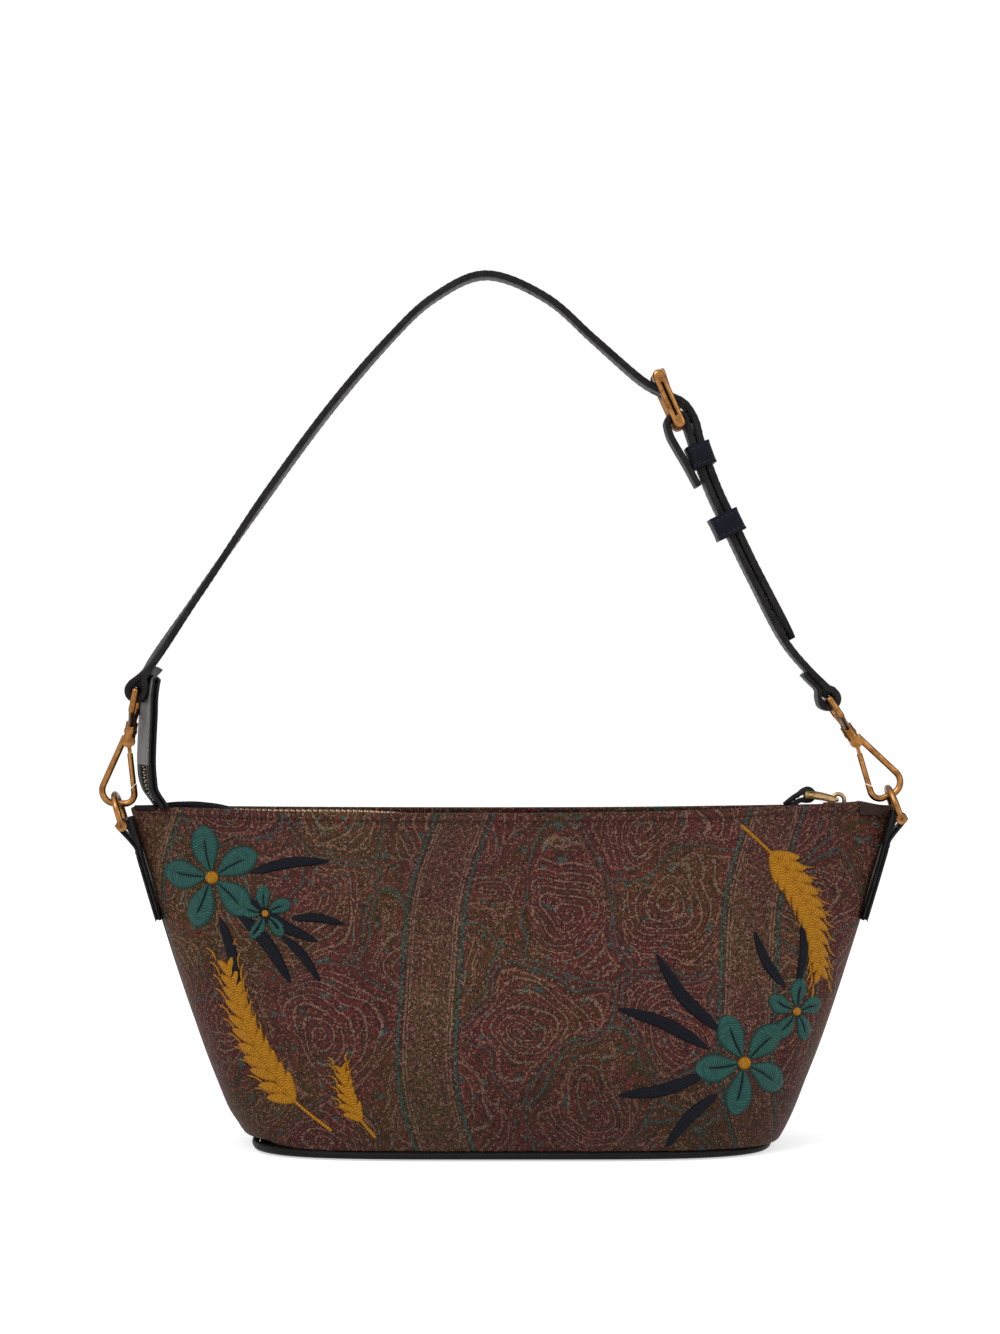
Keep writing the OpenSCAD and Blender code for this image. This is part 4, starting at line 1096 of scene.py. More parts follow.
def build_base():
    gap, r = mm(settings("body").piping_d) + 0.15, mm(settings("body").piping_d) / 2
    rows = [(0, MIDDLE), (0, gap + 3), (0.05, gap + 0.9), (0.35, gap + 0.25), (1.0, gap), (1.7, gap + 0.15),
            (1.95, gap + 0.6), (2.0, gap + 3), (2.0, MIDDLE)]
    ring_wall("base_leather", rows, "black_leather", ["base_panel"])

    def worn(x, y):
        """Nearness to the rubbed corner, front left."""
        return math.exp(-((x + 86) / 16) ** 2) * (1 if y < -20 else 0)
    route = []
    for x, y in base_loop(r, 120):
        swell = 0.9 * worn(x, y)
        route.append((x - 0.35 * swell, y - 0.5 * swell, r + 0.25 * swell))
    radii = [r - 0.02 + 0.22 * worn(p[0], p[1]) for p in route]
    points, faces = tube(route, radii, 14, closed=True)
    points = [(p[0], p[1], max(p[2], 0.02)) for p in points]
    piece("base_piping_leather", points, faces, finish("black_leather"), "bag", ["base_piping"])
    loop = base_loop(gap + 4.5, 200)
    stitches("base_stitches", [[(x, y, 0.06) for x, y in loop + loop[:1]]], "bag")
    dress("base_board", "board")


POCKET_HALF, POCKET_LOW, POCKET_TALL = 55, 34, 60


def back_y(x, z):
    """Where the back lining's inner face stands, as a distance back from the middle."""
    s = z / MOUTH_Z
    px, py = powers(s)
    return (half_depth(s) - 2.9) * (1 - (abs(x) / (half_len(s) - 2.1 * (1 + 1.8 * s))) ** (2 / px)) ** (py / 2)


def gape(x, z):
    """How far the pocket's mouth stands open."""
    return 1.3 * ease((z - 80) / 14) * (1 - (x / POCKET_HALF) ** 2)


def build_pocket():
    points, rows, cols = [], 26, 41
    for deep in (0.9, 1.6):
        for j in range(rows):
            for i in range(cols):
                x, z = -POCKET_HALF + 2 * POCKET_HALF * i / (cols - 1), POCKET_LOW + POCKET_TALL * j / (rows - 1)
                rim = 0.35 if j in (0, rows - 1) or i in (0, cols - 1) else 0
                points.append((x, back_y(x, z) - deep - gape(x, z) - (rim if deep < 1 else -rim), z))
    n = rows * cols
    ring = list(range(cols)) + [j * cols + cols - 1 for j in range(1, rows)]
    ring += [(rows - 1) * cols + i for i in range(cols - 2, -1, -1)] + [j * cols for j in range(rows - 2, 0, -1)]
    after = ring[1:] + ring[:1]
    faces = grid_faces(rows, cols) + [tuple(reversed(f)) for f in grid_faces(rows, cols, first=n)]
    faces += [(a, b, n + b, n + a) for a, b in zip(ring, after)]
    piece("slip_pocket_cloth", points, faces, finish("lining_cloth"), "bag", ["slip_pocket"])
    side = [(-53, z) for z in np.linspace(90, 36, 30)] + [(x, 36) for x in np.linspace(-52, 52, 50)]
    side += [(53, z) for z in np.linspace(36, 90, 30)]
    top = [(x, 90.5) for x in np.linspace(-52, 52, 60)]
    lines = [[(x, back_y(x, z) - 1.8, z) for x, z in side], [(x, back_y(x, z) - 1.8 - gape(x, z), z) for x, z in top]]
    stitches("pocket_stitches", lines, "bag")


def build_inside():
    inset, q = mm(settings("body").shell_t) + 0.3, shares(120)
    low, foot, top = 3.95, MOUTH_Z - 22, 123.55
    near, far = inset + 0.02, inset + 0.78
    for side, back in (("front", False), ("back", True)):
        phase = 2 if back else 0
        rows = [(z, near, 0) for z in np.linspace(low, foot - 0.2, 22)]
        rows += [(z, far, -0.5 * abs(math.sin(z / 9.0 + phase))) for z in np.linspace(foot - 0.2, low, 30)]
        wall_piece(side + "_lining_cloth", rows, q, "lining_cloth", [side + "_lining"], back)
        rows = [(z, near, 0) for z in np.linspace(foot + 0.05, top - 0.3, 8)] + [(top, inset + 0.4, 0)]
        rows += [(z, far, 0) for z in np.linspace(top - 0.3, foot + 0.05, 10)]
        wall_piece(side + "_facing_leather", rows, q, "facing_leather", [side + "_facing"], back)
    lines = [wall_rows([(z, inset + 0.95, 0)], shares(160) * 0.95, back)[0][0]
             for back in (False, True) for z in (foot + 2.0, top - 2.0)]
    stitches("facing_stitches", lines, "bag")
    rows = [(low, MIDDLE), (low, 7), (4.05, 6.1), (4.35, 5.8), (4.65, 6.1), (4.74, 7), (4.9, MIDDLE)]
    ring_wall("base_lining_cloth", rows, "lining_cloth", ["base_lining"])
    build_pocket()


# ---------------------------------------------------------------- zip

ZIP_Z, TOOTH_H, TOOTH_IN, TOOTH_PITCH = 126.2, 2.2, 2.2, 2.15
ZIP_LEFT, TEETH_LEFT, ZIP_RIGHT, TEETH_RIGHT = -130.5, -126.0, 131.9, 122.0
ZIP_DROP = [(-134, 0.6), (-126, 0.4), (-112, -0.7), (-92, -1.3), (-60, -1.5), (-46, -2.2), (-36, -3.0), (0, -3.2),
            (50, -3.2), (80, -2.9), (100, -2.2), (112, -1.0), (119, -0.1), (126, 0), (134, 0)]
# half of the puller's frame, from its hinge to its nose: x, y, z and the wire's radius
PULLER = [(123.6, -1.1, 129.5, 0.75), (122.0, -1.3, 129.8, 0.8), (120.4, -2.2, 130.1, 0.9), (118.6, -3.3, 130.4, 1.1),
          (116.2, -3.6, 130.8, 1.2), (113.9, -3.55, 131.2, 1.2), (112.75, -3.2, 131.4, 1.1),
          (112.47, -2.3, 131.46, 0.85)]
RAIL = [(111.3, 131.7), (114.5, 131.4), (118.5, 130.7), (122.8, 129.5)]
LIP = [(-133.6, 127.2), (-131.0, 127.7), (-127.0, 127.7), (-121.0, 127.1), (-114.0, 126.2)]


def zip_z(x):
    """Height of the zip along the mouth: it sags in the middle and turns up at its left end."""
    p = np.array(smooth(ZIP_DROP, 6))
    return ZIP_Z + np.interp(x, p[:, 0], p[:, 1]) + 1.3 * ease((-106 - x) / 16)


def tooth_shape():
    """One tooth: a rounded jaw that clasps the tape's edge, with a nose that meets the other row."""
    w, h, sides = 0.58, TOOTH_H / 2, 8
    profile = [(-0.62, 0.62), (0.2, 1.0), (0.9, 1.0), (1.5, 0.9), (2.1, 0.72), (2.62, 0.5)]
    rings = []
    for y, k in profile:
        for a in range(sides):
            t = 2 * math.pi * (a + 0.5) / sides
            sx, sz = (math.copysign(abs(v) ** 0.6, v) for v in (math.cos(t), math.sin(t)))
            rings.append((w * k * sx, y, h * min(1, k * 1.04) * sz))
    obj = piece("zip_tooth_shape", rings, tube_faces(len(profile), sides), finish("zip_metal"))
    obj.hide_render = True
    return obj


def zip_tape(side, sign):
    """One tape: a closed flat strip with a bead along the teeth, which bows up between the wall and the teeth."""
    points, thick = [], 0.6
    xs = np.linspace(ZIP_LEFT, ZIP_RIGHT, 130)
    for x in xs:
        outer, inner, z = max(float(mouth_y(x, 1.98)), 2.6), TOOTH_IN + 0.15, zip_z(x)
        swell = (0.35 + 1.5 * float(ease((-100 - x) / 14))) * min(1, (outer - inner) / 5)
        top = [(x, sign * (outer + (inner - outer) * t), z + thick / 2 + swell * math.sin(t * math.pi))
               for t in (0, 0.25, 0.5, 0.75, 1.0)]
        bead = [(x, sign * (inner - y), z + up) for y, up in ((0.05, 0.5), (0.25, 0), (0.05, -0.5))]
        points += top + bead + [(a, b, c - thick) for a, b, c in reversed(top)]
    faces = tube_faces(len(xs), len(points) // len(xs), other_way=True)
    obj = piece(side + "_tape", points, faces, finish("zip_tape"), sharp=50)
    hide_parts(side + "_zip_tape")
    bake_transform(obj)


def build_zip():
    gold, shape = finish("zip_metal"), tooth_shape()
    for side, sign in (("front", -1), ("back", 1)):
        zip_tape(side, sign)
        count = int((TEETH_RIGHT - TEETH_LEFT) / TOOTH_PITCH) - 1
        first = TEETH_LEFT + 0.5 + (0 if sign < 0 else 0.5) * TOOTH_PITCH
        line = [(x, sign * 2.05, zip_z(x)) for x in np.linspace(first, first + count * TOOTH_PITCH, count + 1)]
        obj = laid(side + "_teeth", [line[::-sign]], gold, side + "_zip", TOOTH_PITCH, shape=shape)
        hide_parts(side + "_zip_teeth")
    bpy.data.objects.remove(shape)
    dress("zip_slider", "zip_metal")
    loop = PULLER + [(x, -y, z, r) for x, y, z, r in reversed(PULLER)]
    route = smooth([np.array(p) for p in loop + loop[:1]], 4)[:-1]
    wire("puller_frame", [p[:3] for p in route], [p[3] for p in route], "zip_metal", "puller",
         ["zip_puller"], sides=14, closed=True)
    section = round_section(1.3, 2.9, crown=0.15, groove=0.5, soft=0.5)
    rail = strap_sweep(smooth(RAIL, 5), section, soft_end=0.6)
    points, faces, marks = merged([(shifted(rail[0], y), *rail[1:]) for y in (-3.7, 3.7)])
    piece("puller_rails", points, faces, gold, "puller", marks=marks)
    wire("tape_lip", smooth([np.array((x, -3.5, z)) for x, z in LIP], 5), 0.95, "zip_tape", "bag")


def dress(node, material):
    """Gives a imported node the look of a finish."""
    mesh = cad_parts[node].data
    mesh.materials.clear()
    mesh.materials.append(finish(material))


def build_pull_tab():
    centre, droop, curl = np.array([112.47, 131.46]), math.radians(14), math.radians(15)
    half = [(-9.6, -1.0), (-7.4, -1.02), (-5.2, -1.08), (-3.2, -1.2), (-1.6, -1.62)]
    route = smooth(half + [tuple(p) for p in arc((0, 0), 1.95, -90, 90, 10)] + [(x, -z) for x, z in reversed(half)], 3)
    bent = []
    for x, z in route:
        a = droop + curl * float(ease(-x / 10))
        c, s = math.cos(a), math.sin(a)
        bent.append(centre + np.array([x * c - z * s, x * s + z * c]))
    wide = [1 - 0.22 * ease((-x - 7.0) / 2.5) for x, z in route]
    thick = [1 + 0.35 * float(ease((x + 3.2) / 2)) for x, z in route]
    swept("pull_tab_fold", bent, round_section(4.4, 1.8, crown=0.1, groove=1.5, soft=0.3), "black_leather", "pull_tab",
          "black_leather", ["leather_pull_tab"], thick=thick, wide=wide, soft_end=0.3)
    over = beside([np.array(p) for p in bent[-12:-3]], 0.9)
    stitches("pull_tab_stitches", [at_y(over, y) for y in (-1.45, 1.45)], "pull_tab",
             gauge=0.34, pitch=1.6, length=1.15)


# ---------------------------------------------------------------- tail of the zip

TAIL_X, TAIL_FOOT, TAIL_TOP, TAIL_SPAN, TAIL_CORE = -137.4, 128.9, 176.4, 9.4, 0.33
TAIL_SKIN, TAIL_WIDE, TAIL_BARE = 1.3, 21.0, 13  # leather, width, and the height up to which its zip shows
TAIL_SHARES = [(0.48, -0.05), (0.33, 0.0), (0.15, 0.05), (-0.03, 0.118), (-0.14, 0.27), (-0.12, 0.5), (-0.02, 0.806),
               (0.16, 1)]


def tail_turn(z):
    """Turn of the tail about the upright at a height: a little more at the middle than at the foot."""
    return math.radians(14.5 + 4.5 * float(ease((z - TAIL_FOOT - 1) / 9)) - 4.0 * float(ease((z - 160) / 14)))


def turned(points):
    """Points of the tail turned with it."""
    out = []
    for x, y, z in points:
        c, s, dx = math.cos(tail_turn(z)), math.sin(tail_turn(z)), x - TAIL_X
        out.append((TAIL_X + dx * c - y * s, dx * s + y * c, z))
    return out


def tail_tooth(mid, u, y0, y1):
    """One tooth of the tail's zip: a short round bar across it, from a thin end to a thin end."""
    ring, sides = [], 8
    for t, fat in zip(np.linspace(0, 1, 5), (0.62, 1.0, 1.0, 0.9, 0.6)):
        for a in range(sides):
            c, s = math.cos(2 * math.pi * a / sides), math.sin(2 * math.pi * a / sides)
            q = mid + u * 0.42 * fat * c + np.array([-u[1], u[0]]) * 0.55 * fat * s
            ring.append((q[0], y0 + (y1 - y0) * t, q[1]))
    return ring, tube_faces(5, sides, other_way=True)


def build_tail():
    run = TAIL_TOP - TAIL_FOOT
    route = smooth([(TAIL_X + TAIL_SPAN * a, TAIL_FOOT + run * b) for a, b in TAIL_SHARES], 8)
    skin, wide = TAIL_SKIN, TAIL_WIDE
    off = TAIL_CORE + skin / 2
    inner = [p for p in route if p[1] < TAIL_TOP - 1.5]
    right = beside(inner, -off)
    left = beside([p for p in inner if p[1] > TAIL_FOOT + TAIL_BARE], off)
    top = (right[-1] + left[-1]) / 2
    start = math.degrees(math.atan2(*(right[-1] - top)[::-1]))
    over = arc(top, np.linalg.norm(right[-1] - left[-1]) / 2, start, start + 180, 8)
    path = list(right[:-1]) + over + list(reversed(left[:-1]))
    corner = [1 - 0.12 * float(ease((p[1] - TAIL_TOP + 5) / 5)) for p in path]
    swept("tail_hide", path, round_section(wide, skin, crown=0.05, groove=wide / 2 - 1.6, soft=0.4), "tail_leather",
          "zip_tail", "black_leather", ["zip_tail_leather"], place=turned, wide=corner, soft_end=0.3)
    low = [p for p in route if TAIL_FOOT - 2.2 < p[1] < TAIL_FOOT + TAIL_BARE + 2.6]
    flap = strap_sweep(beside(low, off - 0.1), round_section(7.0, skin, crown=0.02, groove=2.0, soft=0.35))
    points, faces, marks = merged([(shifted(flap[0], y), *flap[1:]) for y in (-7.0, 7.0)])
    piece("tail_flaps", turned(points), faces, finish("tail_leather"), "zip_tail", marks=marks)
    swept("tail_tape", [p for p in route if p[1] < TAIL_TOP - 2.0],
          round_section(wide - 1.2, 0.55, crown=0.0, groove=6, soft=0.15), "zip_tape", "zip_tail", "zip_tape",
          ["zip_tail_tape"], place=turned)
    sunk, seam = TAIL_CORE + skin - 0.2, 8.9
    high = [p for p, k in zip(beside(inner, sunk), inner) if k[1] > TAIL_FOOT + TAIL_BARE + 1.5]
    lines = [at_y(line, y) for line in (high, beside(inner, -sunk)[4:]) for y in (-seam, seam)]
    lines.append([(high[0][0], y, high[0][1]) for y in np.linspace(-seam, seam, 12)])
    stitches("tail_stitches", [turned(line) for line in lines], "zip_tail", pitch=2.6, length=2.0)
    parts = []
    for k in range(7):
        z = TAIL_FOOT + 1.6 + 1.9 * k
        i = min(range(len(route)), key=lambda n: abs(route[n][1] - z))
        p, u = beside(route, 0.95)[i], along(route, i)
        parts += [tail_tooth(p - u * 0.48, u, 0.35, -2.3), tail_tooth(p + u * 0.48, u, -0.35, 2.3)]
    points, faces, _ = merged(parts)
    piece("tail_teeth", turned(points), faces, finish("zip_metal"), "zip_tail", ["zip_tail_teeth"])


# ---------------------------------------------------------------- leather at the ends of the mouth

TAB_PLY, TAB_WIDE, TAB_LOW, TAB_SEAM = 1.25, 12.0, 84.2, 4.3


def side_tab(side, sign, bar):
    """A tab folded over a ring's bar and sewn down the side seam, with its filling; returns its stitch lines."""
    section = round_section(TAB_WIDE, TAB_PLY, crown=0.12, groove=TAB_WIDE / 2 - 1.7, soft=0.35)
    b = (-abs(bar[0]), bar[1])
    heights = np.linspace(TAB_LOW, b[1] - 8, 8)
    inner = [np.array([-half_len(z / MOUTH_Z) + 0.15 - TAB_PLY / 2, z]) for z in heights]
    outer = [p - np.array([TAB_PLY + 0.05, 0]) for p in inner]
    path = smooth(inner + arc(b, 1.4 + TAB_PLY / 2, -18, 198, 16)[::2] + list(reversed(outer)), 3)
    if sign > 0:
        path = [np.array([-p[0], p[1]]) for p in path]
    swept(side + "_tab_leather", path, section, "black_leather", "bag", "black_leather", [side + "_side_tab"],
          soft_end=0.4)
    heights = np.linspace(b[1] - 9, b[1] + 3.4, 9)
    rise = np.clip((heights - inner[-1][1]) / (b[1] - 0.6 - inner[-1][1]), 0, 1)
    outside = inner[-1][0] + (b[0] + 1.9 - inner[-1][0]) * rise
    shell = np.array([-half_len(z / MOUTH_Z) + 0.35 for z in heights])
    core = [np.array([-sign * m, z]) for m, z in zip((outside + shell) / 2, heights)]
    swept(side + "_tab_core", core, round_section(TAB_WIDE - 0.6, 1.0, crown=0.0, groove=4.0, soft=0.3),
          "black_leather", "bag", "black_leather", thick=[v + 0.35 for v in shell - outside], soft_end=0.5)
    face = [np.array([sign * (abs(p[0]) + TAB_PLY / 2 - 0.14), p[1]]) for p in outer]
    foot = [(face[0][0], y, face[0][1] + 1.6) for y in np.linspace(-TAB_SEAM, TAB_SEAM, 6)]
    return [at_y(face, -TAB_SEAM), at_y(face, TAB_SEAM), foot]


def build_side_tabs():
    lines = side_tab("left", -1, (-147.2, 119.9)) + side_tab("right", 1, (147.2, 122.6))
    stitches("side_tab_stitches", lines, "bag", gauge=0.42, pitch=2.6, length=1.9)
    # a dark cord down each side seam, from the tab to the base
    for side, sign, out in (("left", -1, 0.3), ("right", 1, 0.6)):
        cord = [(sign * (half_len(z / MOUTH_Z) - out), 0.6, z) for z in np.linspace(5.0, 88.0, 30)]
        wire(side + "_seam_cord", cord, 0.75, "black_leather", "bag")
    mouth_saddle("left_binding_leather", (-143.2, -134.4), 0.3, 0.65, (1.9, 1.9), "black_leather", [])
    mouth_saddle("end_cover_leather", (131.6, 144.2), 0.6, 1.05, (5.2, 3.2), "brown_leather", ["zip_end_cover"])


def mouth_saddle(name, reach, loose, ply, drops, material, replaces):
    """Leather folded over one end of the mouth: an upturned channel that narrows to the side seam."""
    rings, sections = [], 26
    for k in range(sections):
        t, from_end = k / (sections - 1), min(k, sections - 1 - k)
        x = reach[0] + (reach[1] - reach[0]) * t
        half = float(mouth_y(x, 0)) + loose + 0.25
        top = MOUTH_Z + float(lift_at(x)) * 0.6 + (0.7 if replaces else 0.35)
        deep = drops[0] + (drops[1] - drops[0]) * t
        low = top - deep * (0.9 + 0.1 * float(ease(from_end / 3.0)))
        fat = ply * (1 - 0.35 * (1 - ease(from_end / 2.0)))
        flare = 0.55 * (MOUTH_Z - low) / 8
        outer = [(half + fat + flare, low + 0.3), (half + fat + flare * 0.5, low + deep * 0.5), (half + fat, top - 0.9),
                 (half + fat * 0.72, top - 0.25), (half * 0.62, top + 0.10)]
        inner = [(half * 0.62, top - fat * 0.9), (half, top - fat - 0.25), (half + flare * 0.5, low + deep * 0.5),
                 (half + flare, low)]
        rings += [(x, -y, z) for y, z in outer] + [(x, y, z) for y, z in reversed(outer)]
        rings += [(x, y, z) for y, z in reversed(inner)] + [(x, -y, z) for y, z in inner]
    cols = len(rings) // sections
    rims = (0, 9, 10, cols - 1)
    edge = [float(i % cols in rims or not cols <= i < (sections - 1) * cols) for i in range(len(rings))]
    piece(name, rings, tube_faces(sections, cols, other_way=True), finish(material), "bag", replaces,
          marks={"edge": edge})


# ---------------------------------------------------------------- strap

LEFT_BAR, RIGHT_BAR = np.array([-141.88, 170.861]), np.array([120.166, 167.78])
REACH, RISE = 200.0, 158.0
# places along the strap, as shares of its reach and rise from the left bar
ARCH = [(0.026, 0.068), (0.1345, 0.27), (0.2455, 0.475), (0.363, 0.677), (0.4765, 0.845), (0.562, 0.9457), (0.6615, 1),
        (0.7745, 0.9457), (0.866, 0.845), (0.953, 0.7486), (1.004, 0.711), (1.036, 0.6905), (1.0568, 0.6505)]
PAIR = [(1.059, 0.602), (1.068, 0.566), (1.095, 0.477), (1.123, 0.403), (1.1455, 0.343), (1.172, 0.275), (1.236, 0.121)]
LOOP_R, LOOP_UP, LOOP_PLY, FOLD, FOLD_PLY, FOLD_GAP = 1.6, 0.25, 3.2, 13.0, 2.0, 1.08
LOOP_REACH = LOOP_R + LOOP_PLY / 2
SPARE, SPARE_PLY = [(-4.5, 0.0), (-3.2, -4.8), (-0.3, -10.1), (2.85, -15.4), (7.4, -23.8)], 2.6
BUCKLE_MID, BUCKLE_LEAN, LOW_BAR = np.array([59.42, 281.145]), 24.3, np.array([63.433, 272.259])
BUCKLE_AXIS = np.array([-math.sin(math.radians(BUCKLE_LEAN)), math.cos(math.radians(BUCKLE_LEAN))])
RAIL_W, RAIL_T = 4.5, 2.6
HOLES, HOLE_R = (31, 35, 71), 1.3


def strap_place(p):
    """A place along the strap in millimetres."""
    return LEFT_BAR + np.array([REACH * p[0], RISE * p[1]])


def sewn_lines(route, out, width, turn, first, last):
    """Two stitch lines along a strap's route, each at the distances out from its middle."""
    inset = width / 2 - mm(settings("strap").stitch_in)
    lines = []
    for y in (-inset, inset):
        for d in out:
            line = []
            for i in range(first, last):
                side, n = crosswise(along(route, i), turn[i])
                line.append(np.array([route[i][0], 0, route[i][1]]) + side * y + n * d)
            lines.append(line)
    return lines


def punched(obj, cutters):
    """Cuts holes through a strap."""
    for points, faces in cutters:
        tool = bpy.data.objects.new("cutter", outward(raw_mesh("cutter", points, faces)))
        bpy.context.scene.collection.objects.link(tool)
        mod = obj.modifiers.new("hole", "BOOLEAN")
        mod.operation, mod.solver, mod.object = "DIFFERENCE", "EXACT", tool
        applied(obj)
        mesh = tool.data
        bpy.data.objects.remove(tool)
        bpy.data.meshes.remove(mesh)


def block(centre, axis, half_along, half_wide, half_out):
    """A box about a point in the X-Z plane, with its length along an axis."""
    points = []
    for a in (-half_along, half_along):
        for y in (-half_wide, half_wide):
            for c in (-half_out, half_out):
                p = centre + axis * a + left_of(axis) * c
                points.append((p[0], y, p[1]))
    return points, [(0, 1, 3, 2), (4, 6, 7, 5), (0, 4, 5, 1), (2, 3, 7, 6), (0, 2, 6, 4), (1, 5, 7, 3)]


def shoulder(loop, up, side):
    """A strap's way from the side of its loop to the strap's middle."""
    return [loop + side * LOOP_REACH, loop + up * 2.4 + side * (LOOP_REACH - 0.4), loop + up * 5.6 + side * 1.35]


def fold_bend(end, loop, up, side):
    """The way from the end of a folded leg to the far side of the loop."""
    return smooth([end, loop + up * 5.0 - side * 1.2, loop + up * 2.2 - side * (LOOP_REACH - 0.4),
                   loop - side * LOOP_REACH], 5)


def long_strap(pair, section, wide, t):
    """From its folded tail round the left loop, over the arch and down through the keepers.
    Returns the middle of the loop's filling and the stitch lines."""
    s = settings("strap")
    arch = [strap_place(p) for p in ARCH]
    loop, off = LEFT_BAR + np.array([0, LOOP_UP]), (t + 0.3) / 2
    up = unit2(arch[0] - loop)
    side = left_of(up)
    main = evenly(smooth(shoulder(loop, up, side) + arch + beside(pair, off), 10), 2.0)
    run = lengths(main)
    tail = [p for p, r in zip(beside(main, -(t / 2 + FOLD_GAP)), run) if 7.5 < r < FOLD - 1.0]
    tilt = math.degrees(math.atan2(side[1], side[0]))
    round_loop = arc(loop, LOOP_REACH, tilt - 180, tilt - 360, 14)
    path = list(reversed(tail)) + fold_bend(tail[0], loop, up, side)[1:-1] + round_loop + main[1:]
    fold = len(tail) + 16
    thick = [(FOLD_PLY + (LOOP_PLY - FOLD_PLY) * float(ease((i - len(tail) + 1) / 6))
              - (LOOP_PLY - t) * float(ease((i - fold - 4) / 8))) / t for i in range(len(path))]
    end = lengths(path)[-1] - lengths(path)
    broad = [math.sqrt(max(0.06, 1 - (1 - min(e / 14.0, 1)) ** 2.2)) for e in end]
    turn = []
    for x, z in path:
        # the lower left run faces the front a little more than the rest
        here = float(x < -20)
        run_in = ease((z - 172) / 12)
        k = here * float(run_in * ease((248 - z) / 40))
        near = here * 0.075 * float(ease((z - 172) / 10) * ease((206 - z) / 20))
        rest = s.turn_low * float(ease((z - 176) / 30)) * (1 - k) * float(ease((z - 290) / 20))
        turn.append(-(near + s.twist * k + rest))
    points, faces, marks = strap_sweep(path, section, thick, broad, turn)
    leg = len(section) * (len(tail) + 4)
    marks["under"][:leg] = [0.0] * leg
    obj = piece("long_strap_leather", points, faces, finish("strap_leather"), "strap", ["long_strap"],
                marks=marks)
    holes = [block(BUCKLE_MID, left_of(BUCKLE_AXIS), 14, 1.35, 6)]
    high = smooth([loop - np.array([LOOP_REACH, 0])] + arch + beside(pair, off), 4)
    for k in HOLES:
        n = left_of(along(high, k))
        holes.append(tube(at_y([high[k] - n * t, high[k] + n * t], 0), HOLE_R, 16))
    punched(obj, holes)
    last = [i for i in range(len(main)) if run[-1] - run[i] > 16][-1]
    return loop + up * 2.9, sewn_lines(main, (t / 2 - 0.2, -t / 2 + 0.2), wide, turn[len(path) - len(main):], 9, last)


def short_strap(pair, section, wide, t):
    """From its spare end over the buckle's bar and down to the right loop. Returns what long_strap does."""
    bar_r, ply = 1.65, 2.2
    loop = RIGHT_BAR + unit2(pair[-1] - RIGHT_BAR) * LOOP_UP
    up = unit2(pair[-1] - loop)
    side = -left_of(up)
    head = LOW_BAR + np.array([bar_r + ply / 2, 0])
    body = evenly(smooth([head] + beside(pair, -(t + 0.3) / 2) + shoulder(loop, up, side)[::-1], 10), 2.0)
    tail = smooth([LOW_BAR + np.array(p) for p in SPARE], 8)
    cap = arc(LOW_BAR, (-SPARE[0][0], bar_r + ply / 2), 180, 0, 12)
    back = lengths(body)[-1] - lengths(body)
    leg = [p for p, r in zip(beside(body, -(t / 2 + FOLD_GAP)), back) if 8.5 < r < FOLD + 2.0]
    tilt = math.degrees(math.atan2(side[1], side[0]))
    foot = arc(loop, LOOP_REACH, tilt, tilt - 180, 14)
    path = list(reversed(tail)) + cap[1:] + body[1:-1] + foot
    path += list(reversed(fold_bend(leg[-1], loop, up, side)[1:-1])) + list(reversed(leg))
    at_foot = len(tail) + len(cap) - 1 + len(body)
    thick = [(SPARE_PLY + (t - SPARE_PLY) * float(ease((i - len(tail)) / 16))
              + float(ease((i - (at_foot - 8)) / 6)) * (LOOP_PLY - t)
              - float(ease((i - (at_foot + 10)) / 7)) * (LOOP_PLY - FOLD_PLY)) / t for i in range(len(path))]
    obj = swept("short_strap_leather", path, section, "strap_leather", "strap", "black_leather", ["short_strap"],
                thick=thick)
    punched(obj, [block(LOW_BAR + BUCKLE_AXIS * 3.2, BUCKLE_AXIS, 6.0, 1.4, 6.0)])
    return loop + up * 2.9, sewn_lines(body, (t / 2 - 0.2, -t / 2 + 0.2), wide, [0.0] * len(body), 5, len(body) - 8)


def build_strap():
    s = settings("strap")
    wide, t = mm(s.width), mm(s.thickness)
    pair = [strap_place(p) for p in PAIR]
    section = round_section(wide, t, crown=0.16, groove=wide / 2 - mm(s.stitch_in), soft=0.55)
    left, lines = long_strap(pair, section, wide, t)
    right, more = short_strap(pair, section, wide, t)
    for side, mid in (("left", left), ("right", right)):
        # leather that fills the gap between a loop and its fold
        core = [(mid[0], y, mid[1]) for y in (-wide / 2 + 0.8, 0, wide / 2 - 0.8)]
        wire(side + "_loop_core", core, 1.85, "strap_leather", "strap", sides=20)
    stitches("strap_stitches", lines + more, "strap", gauge=0.42)
    keeper("fixed_keeper", pair, 1, "strap", wide, t)
    keeper("sliding_keeper", pair, 3, "keeper", wide, t, loose=2.2)


